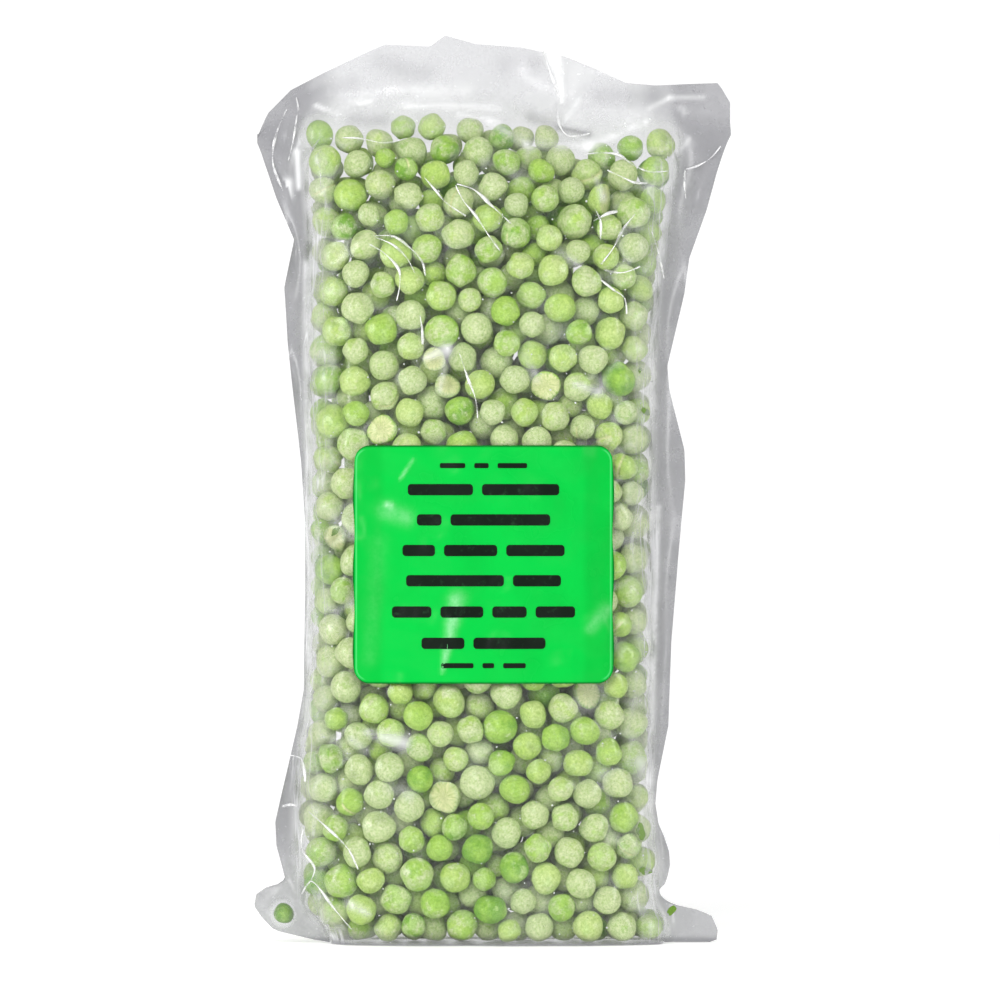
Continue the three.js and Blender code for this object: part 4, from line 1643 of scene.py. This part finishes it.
@dataclass(frozen=True)
class PeaFinish:
    """Frosted green peas: each has its own ripeness, with paler frosted patches, fine mottling and pores."""

    deep: Colour = (0.23, 0.49, 0.045)
    bright: Colour = (0.43, 0.70, 0.10)
    yellowish: Colour = (0.56, 0.77, 0.18)
    pale: Colour = (0.70, 0.84, 0.34)
    mint: Colour = (0.64, 0.83, 0.34)
    frosted: Colour = (0.91, 0.96, 0.62)
    flesh: Colour = (0.86, 0.90, 0.46)
    pit: Colour = (0.16, 0.29, 0.035)
    roughness: float = 0.45

    def material(self) -> bpy.types.Material:
        """Builds the finish."""
        g = Graph("frozen_pea")
        skin = g.attribute("skin", "Vector")
        ripeness, frost, flesh = g.attribute("ripeness"), g.attribute("frost"), g.attribute("flesh")
        cloud = g.noise(skin, 0.9, 2.0, 0.5)
        clean = g.ramp(ripeness + (cloud - 0.5) * 0.8,
                       ((0.0, self.deep), (0.22, self.bright), (0.6, self.yellowish), (1.0, self.pale)))
        zone = (g.noise(skin, 0.8, 4.0, 0.55) + frost * 0.42).step(0.60, 0.67)
        grain = g.noise(skin, 5.5, 6.0, 0.7)
        speckle = g.noise(skin, 15.0, 4.0, 0.7).step(0.36, 0.62)
        vein = 1.0 - g.math("ABSOLUTE", g.noise(skin, 2.4, 5.0, 0.6) - 0.5).step(0.0, 0.035)
        crust = (g.noise(skin, 1.4, 8.0, 0.68) + frost * 0.42).step(0.61, 0.74)
        icy = crust * (speckle * 0.6 + 0.4) * (1.0 - vein * 0.65)
        colour = g.mix(clean, self.mint, zone * 0.6)
        colour = g.mix(colour, self.frosted, icy * 0.9)
        pits = g.noise(skin, 6.0, 3.0, 0.6).step(0.66, 0.71)
        colour = g.mix(colour, self.pit, pits * 0.6)
        colour = g.mix(colour, self.flesh, flesh.step(0.1, 0.9))
        colour = g.mix(colour, self.pit, (flesh * -1.0).step(0.1, 1.0) * 0.9)
        mottled = g.mix(colour, g.ramp(grain, ((0.34, (0.56, 0.70, 0.38)), (0.62, (1.10, 1.06, 1.15)))), 0.8,
                        "MULTIPLY")
        height = g.noise(skin, 3.4, 8.0, 0.72) + icy * 0.3
        surface = g.shader("ShaderNodeBsdfPrincipled", {
            "Base Color": mottled,
            "Roughness": icy * 0.2 + self.roughness,
            "Specular IOR Level": 0.35,
            "Normal": g.bump(height, 0.7, 0.0007),
        })
        return g.finish(surface)


@dataclass(frozen=True)
class FilmFinish:
    """Clear glossy film: milky where it is off the peas, with painted highlights, painted shades and a
    painted contact shadow in its milk, and mirroring more the flatter it is looked at.
    """

    tint: Colour = (0.875, 0.875, 0.885)
    milk: Colour = (0.80, 0.805, 0.81)
    grey: Colour = (0.27, 0.27, 0.285)
    mirrored: float = 0.045  # the share of light that it mirrors, seen square on

    def material(self) -> bpy.types.Material:
        """Builds the finish."""
        g = Graph("clear_film")
        place = g.place()
        # the milk values carry painted highlights, painted shades and a painted contact shadow as well as
        # real milkiness
        haze, greyness, drawn_out = g.attribute("haze"), g.attribute("greyness"), g.attribute("drawn_out")
        stretched = g.node("ShaderNodeVectorMath", {"operation": "MULTIPLY"}, {0: place, 1: (1.0, 1.0, 0.12)})
        upright = Wire(g, stretched.outputs[0])
        streaks = g.noise(upright, 420.0, 3.0, 0.6)
        cloud = g.noise(place, 110.0, 4.0, 0.6)
        # frost on the film, and painted glints: fine white specks of milk
        frost_and_painted_glints = g.noise(place, 800.0, 2.0, 0.5).step(0.66, 0.72)
        veil = g.noise(place, 62.0, 5.0, 0.62).step(0.42, 0.56)
        patchy = (veil * 0.75 + cloud * 0.5 - 0.62) * (1.0 - greyness * 0.75)
        ridges = 1.0 - g.math("ABSOLUTE", g.noise(upright, 150.0, 2.0, 0.5) - 0.5).step(0.0, 0.04)
        loose = patchy + (streaks - 0.5) * (drawn_out * 0.5 + 0.1) + frost_and_painted_glints * 0.5 + ridges * drawn_out * 1.5
        cover = haze * (1.0 + loose)
        crinkle = g.bump(g.noise(place, 200.0, 3.0, 0.5) + streaks * 0.4, 0.3, 0.0004)
        clear = g.shader("ShaderNodeBsdfTransparent", {"Color": self.tint})
        milky = g.shader("ShaderNodeBsdfPrincipled", {
            "Base Color": g.mix(self.milk, self.grey, greyness), "Roughness": 0.5, "Specular IOR Level": 0.0})
        body = g.shader("ShaderNodeMixShader", {0: cover, 1: clear, 2: milky})
        mirror = g.shader("ShaderNodeBsdfPrincipled", {
            "Base Color": (1.0, 1.0, 1.0), "Metallic": 1.0, "Roughness": cloud * 0.2 + 0.14,
            "Normal": crinkle})
        weight = g.node("ShaderNodeLayerWeight", {}, {"Blend": 0.5, "Normal": crinkle})
        shine = g.math("POWER", Wire(g, weight.outputs["Facing"]), 5.0) * 0.9 + self.mirrored
        return g.finish(g.shader("ShaderNodeMixShader", {0: shine, 1: body, 2: mirror}))


@dataclass(frozen=True)
class FoldFinish:
    """The sharp folds of the film: nearly clear, with a strong gloss."""

    def material(self) -> bpy.types.Material:
        """Builds the finish."""
        g = Graph("film_fold")
        clear = g.shader("ShaderNodeBsdfTransparent", {"Color": (0.97, 0.97, 0.97)})
        gloss = g.shader("ShaderNodeBsdfPrincipled", {
            "Base Color": (0.95, 0.95, 0.96), "Metallic": 0.35, "Roughness": 0.22})
        broken = g.noise(g.place(), 260.0, 3.0, 0.6).step(0.38, 0.6)
        return g.finish(g.shader("ShaderNodeMixShader", {0: broken * 0.6 + 0.15, 1: clear, 2: gloss}))


@dataclass(frozen=True)
class IceFinish:
    """Small crystals of ice."""

    def material(self) -> bpy.types.Material:
        """Builds the finish."""
        g = Graph("ice")
        return g.finish(g.shader("ShaderNodeBsdfPrincipled", {
            "Base Color": (0.86, 0.89, 0.88), "Roughness": 0.18}))


@dataclass(frozen=True)
class LabelFinish:
    """Glossy green sticker paper, darker in its side margins, with a dark outline of painted shade round its
    edge, paler painted highlights along its creases, and a pale line in it.
    """

    green: Colour = (0.001, 0.47, 0.048)
    margin: Colour = (0.001, 0.38, 0.034)
    # painted shade at the sticker's edge
    outline: Colour = (0.001, 0.14, 0.016)
    light: Colour = (0.08, 0.60, 0.18)
    # the pale green of the painted crease highlights
    worn: Colour = (0.46, 0.78, 0.52)

    def material(self) -> bpy.types.Material:
        """Builds the finish."""
        g = Graph("label_paper")
        place = g.place()
        inset, across, worn = g.attribute("inset"), g.attribute("across"), g.attribute("worn")
        side = g.math("ABSOLUTE", across).step(0.028, 0.031)
        soft = g.noise(place, 55.0, 3.0, 0.5).step(0.35, 0.7)
        colour = g.mix(self.green, self.margin, side * 0.5 + soft * 0.35)
        # painted highlight: paler colour along the creases
        colour = g.mix(colour, self.worn, worn * (g.noise(place, 420.0, 4.0, 0.7).step(0.3, 0.7) * 0.5 + 0.5))
        at_side = g.math("ABSOLUTE", across).step(0.034, 0.036)
        line = inset.step(0.00075, 0.00095) * (1.0 - inset.step(0.0011, 0.0014)) * at_side
        colour = g.mix(colour, self.light, line * 0.6)
        # painted shade: a dark outline round the sticker's edge
        colour = g.mix(self.outline, colour, inset.step(0.0002, 0.0008))
        ripple = g.noise(place, 85.0, 2.0, 0.5) + g.noise(place, 700.0, 2.0, 0.5) * 0.03
        surface = g.shader("ShaderNodeBsdfPrincipled", {
            "Base Color": colour, "Roughness": soft * 0.1 + 0.2, "Specular IOR Level": 0.08,
            "Normal": g.bump(ripple, 0.35, 0.0012)})
        return g.finish(surface)


@dataclass(frozen=True)
class PrintFinish:
    """Dark print."""

    def material(self) -> bpy.types.Material:
        """Builds the finish."""
        g = Graph("dark_print")
        faded = g.noise(g.place(), 500.0, 3.0, 0.6).step(0.55, 0.8)
        return g.finish(g.shader("ShaderNodeBsdfPrincipled", {
            "Base Color": g.mix((0.004, 0.009, 0.005), (0.012, 0.035, 0.016), faded), "Roughness": 0.3,
            "Specular IOR Level": 0.1}))


# ---- The studio -----------------------------------------------------------------------------


@dataclass(frozen=True)
class Lamp:
    """A soft box: where it stands, what it is aimed at, its size and its power."""

    name: str
    place: tuple[float, float, float]
    size: tuple[float, float]
    power: float
    mirrored: bool = True  # whether it shows in glossy things
    aim: tuple[float, float, float] = (0.0, 0.0, 0.13)

    def build(self) -> None:
        """Adds the light."""
        data = bpy.data.lights.new(self.name, "AREA")
        data.shape = "RECTANGLE"
        data.size, data.size_y = self.size
        data.energy = self.power
        made = bpy.data.objects.new(self.name, data)
        bpy.context.scene.collection.objects.link(made)
        made.location = self.place
        made.visible_glossy = self.mirrored
        way = np.array(self.aim) - np.array(self.place)
        made.rotation_euler = Vector(way).to_track_quat("-Z", "Y").to_euler()


@dataclass(frozen=True)
class Studio:
    """The camera, the light and the pale floor."""

    pixel: float = 0.294 * MM  # at the middle of the bag
    image: int = 1000
    eye_x: float = 2.1 * MM
    eye_z: float = 130.2 * MM
    distance: float = 2.4
    floor_size: float = 1.6
    lamps: tuple[Lamp, ...] = (
        Lamp("key", (-0.45, -1.75, 1.15), (1.3, 1.3), 24.5, mirrored=False),
        Lamp("glint", (-0.30, -2.20, 0.80), (0.22, 0.22), 2.5),
        Lamp("left_strip", (-1.2, -0.95, 0.35), (0.22, 0.9), 6.0),
        Lamp("right_strip", (1.2, -0.95, 0.45), (0.22, 0.9), 5.0),
    )
    backdrop: float = 1.08
    room: float = 0.62  # the brightness in front of the bag
    overhead: float = 0.7  # of either, the share that is left high up
    floor_glow: float = 0.34

    def build(self) -> None:
        """Adds everything."""
        scene = bpy.context.scene
        data = bpy.data.cameras.new("camera")
        data.sensor_width = 36.0
        data.lens = data.sensor_width * self.distance / (self.pixel * self.image)
        data.clip_end = 50.0
        camera = bpy.data.objects.new("camera", data)
        scene.collection.objects.link(camera)
        camera.location = (self.eye_x, -self.distance, self.eye_z)
        camera.rotation_euler = (math.pi / 2, 0, 0)
        scene.camera = camera
        for lamp in self.lamps:
            lamp.build()
        self.build_floor()
        self.build_sky()
        scene.view_settings.view_transform = "Standard"

    def build_floor(self) -> None:
        """A wide pale floor under the bag."""
        half = self.floor_size / 2
        mesh = bpy.data.meshes.new("floor")
        mesh.from_pydata([(-half, -half, 0), (half, -half, 0), (half, half, 0), (-half, half, 0)], [],
                         [(0, 1, 2, 3)])
        floor = bpy.data.objects.new("floor", mesh)
        bpy.context.scene.collection.objects.link(floor)
        g = Graph("pale_floor")
        mesh.materials.append(g.finish(g.shader("ShaderNodeBsdfPrincipled", {
            "Base Color": (0.9, 0.9, 0.9), "Roughness": 0.8, "Specular IOR Level": 0.0,
            "Emission Color": (1.0, 1.0, 1.0), "Emission Strength": self.floor_glow})))

    def build_sky(self) -> None:
        """A white backdrop behind the bag, a dimmer room in front of it, and both darker overhead."""
        world = bpy.data.worlds.new("studio")
        bpy.context.scene.world = world
        world.use_nodes = True
        g = Graph("studio", world.node_tree)
        where = g.node("ShaderNodeTexCoord", {}, {}).outputs["Generated"]
        split = g.node("ShaderNodeSeparateXYZ", {}, {0: where})
        back = Wire(g, split.outputs["Y"]).step(-0.1, 0.55)
        high = Wire(g, split.outputs["Z"]).step(0.2, 0.65)
        strength = (back * (self.backdrop - self.room) + self.room) * (1.0 - high * (1.0 - self.overhead))
        sky = g.node("ShaderNodeBackground", {}, {"Color": (1.0, 1.0, 1.0), "Strength": strength})
        g.node("ShaderNodeOutputWorld", {}, {"Surface": sky.outputs[0]})


@dataclass(frozen=True)
class Veil:
    """How milky the film is, by place, as shares of light that it scatters.

    It is clear on the front and the back, a little milky over hollows, and milky down both sides and in the
    header. The flange is grey. Strokes of painted highlight whiten the front, strokes of painted shade grey
    the header, and a painted contact shadow greys the lowest few millimetres.
    """

    side: float = 0.19
    flange: float = 0.19
    top: float = 0.17
    foot: float = 0.3  # painted contact shadow: grey milk over the lowest few millimetres
    line: float = 0.5  # more painted contact shadow where it touches the ground
    patches: float = 0.02
    patch_pitch: float = 30 * MM
    kept_clear: float = 0.75  # of the milk, that is lost where the flange lies on peas

    def loose(self, z: Array, out: Array, patch: Array) -> Array:
        """How milky the film is where it hangs free: more in patches, towards the sides and near the top."""
        return 0.02 + 0.05 * patch + 0.16 * smoothstep(0.5, 0.95, out) + 0.08 * smoothstep(0.205, 0.235, z)

    def spread(self, form: Form, shell: Shell) -> dict[str, Array]:
        """The values at every point of the film.

        Args:
            form: the filled bag's form.
            shell: the film's shell, with its "gap".

        Returns:
            How milky the film is, painted highlights, painted shades and the painted contact shadow included,
            as "haze", how grey that milk is, painted shades and the painted contact shadow included, as
            "greyness", and where the film is "drawn_out" in upright ridges.
        """
        gap = shell.floats["gap"]
        x, y, z = shell.points.T
        left, right = form.left(z), form.right(z)
        out = np.abs(x - (left + right) / 2) / ((right - left) / 2)
        hollow = smoothstep(0.5 * MM, 2.5 * MM, gap)
        side = smoothstep(0.80, 0.97, out)
        over_dip = 0.8 * smoothstep(0.228, 0.238, z) * bump(x, 0.03, 0.022)
        top = np.maximum(smoothstep(0.235, 0.246, z), over_dip)
        low = 1 - top
        flange = smoothstep(0.97, 1.05, out)
        # painted contact shadow: grey milk over the lowest few millimetres
        foot = smoothstep(2.2 * MM, 0.6 * MM, z)
        ear = smoothstep(0.035, 0.015, z)
        # more painted contact shadow right where the film touches the ground
        line = smoothstep(0.9 * MM, 0.3 * MM, z)
        clear = smoothstep(0.9 * MM, 0.3 * MM, gap) * flange
        # painted highlights: strokes of white milk on the front sheet
        shine = sum(one(x, z) for one in PAINTED_HIGHLIGHTS) * (y < 0)
        # painted shades: strokes of grey milk in the header
        shade = sum(one(x, z) for one in PAINTED_SHADES)
        rng = np.random.default_rng(SEED)
        patch = smoothstep(0.4, 1.6, ripples(rng, shell.points * (1, 0.2, 1), self.patch_pitch))
        haze = self.loose(z, out, patch) * hollow + self.patches * patch + self.side * side * low
        haze = haze + self.flange * flange * low + self.top * top + self.foot * foot + self.line * line
        haze = haze * (1 - self.kept_clear * clear) + shine + shade
        # the painted contact shadow is fully grey
        greyness = flange * (1 - 0.3 * ear) * (1 - 0.3 * top) + 0.4 * side * (1 - flange) + 0.3 * top + foot
        greyness = (greyness + 3 * shade) * np.clip(1 - 3 * shine, 0, 1)
        return {"haze": np.clip(haze, 0, 1), "greyness": np.clip(greyness, 0, 1),
                "drawn_out": side * low * (1 - flange)}


def main() -> None:
    """Builds the bag piece by piece, then the studio."""
    logging.basicConfig(level=logging.INFO, format="%(relativeCreated)7d %(message)s")
    rng = np.random.default_rng(SEED)
    form = Form()
    heap = Heap(form)
    heap.fill(rng)
    film = Film(form, heap)
    film.suck_down()
    skin = PeaFinish().material()
    Peas(heap, form).build(rng, skin)
    shell = film_shell(film)
    shell.floats.update(Veil().spread(form, shell))
    shell.piece("film", "film", "bag", FilmFinish().material())
    front = Front(film)
    Label().build(front)
    Folds().build(front)
    crumbs = Crumbs()
    crumbs.build_ice(rng, film)
    crumbs.build_scraps(rng, front, skin)
    Studio().build()


if __name__ == "__main__":
    main()
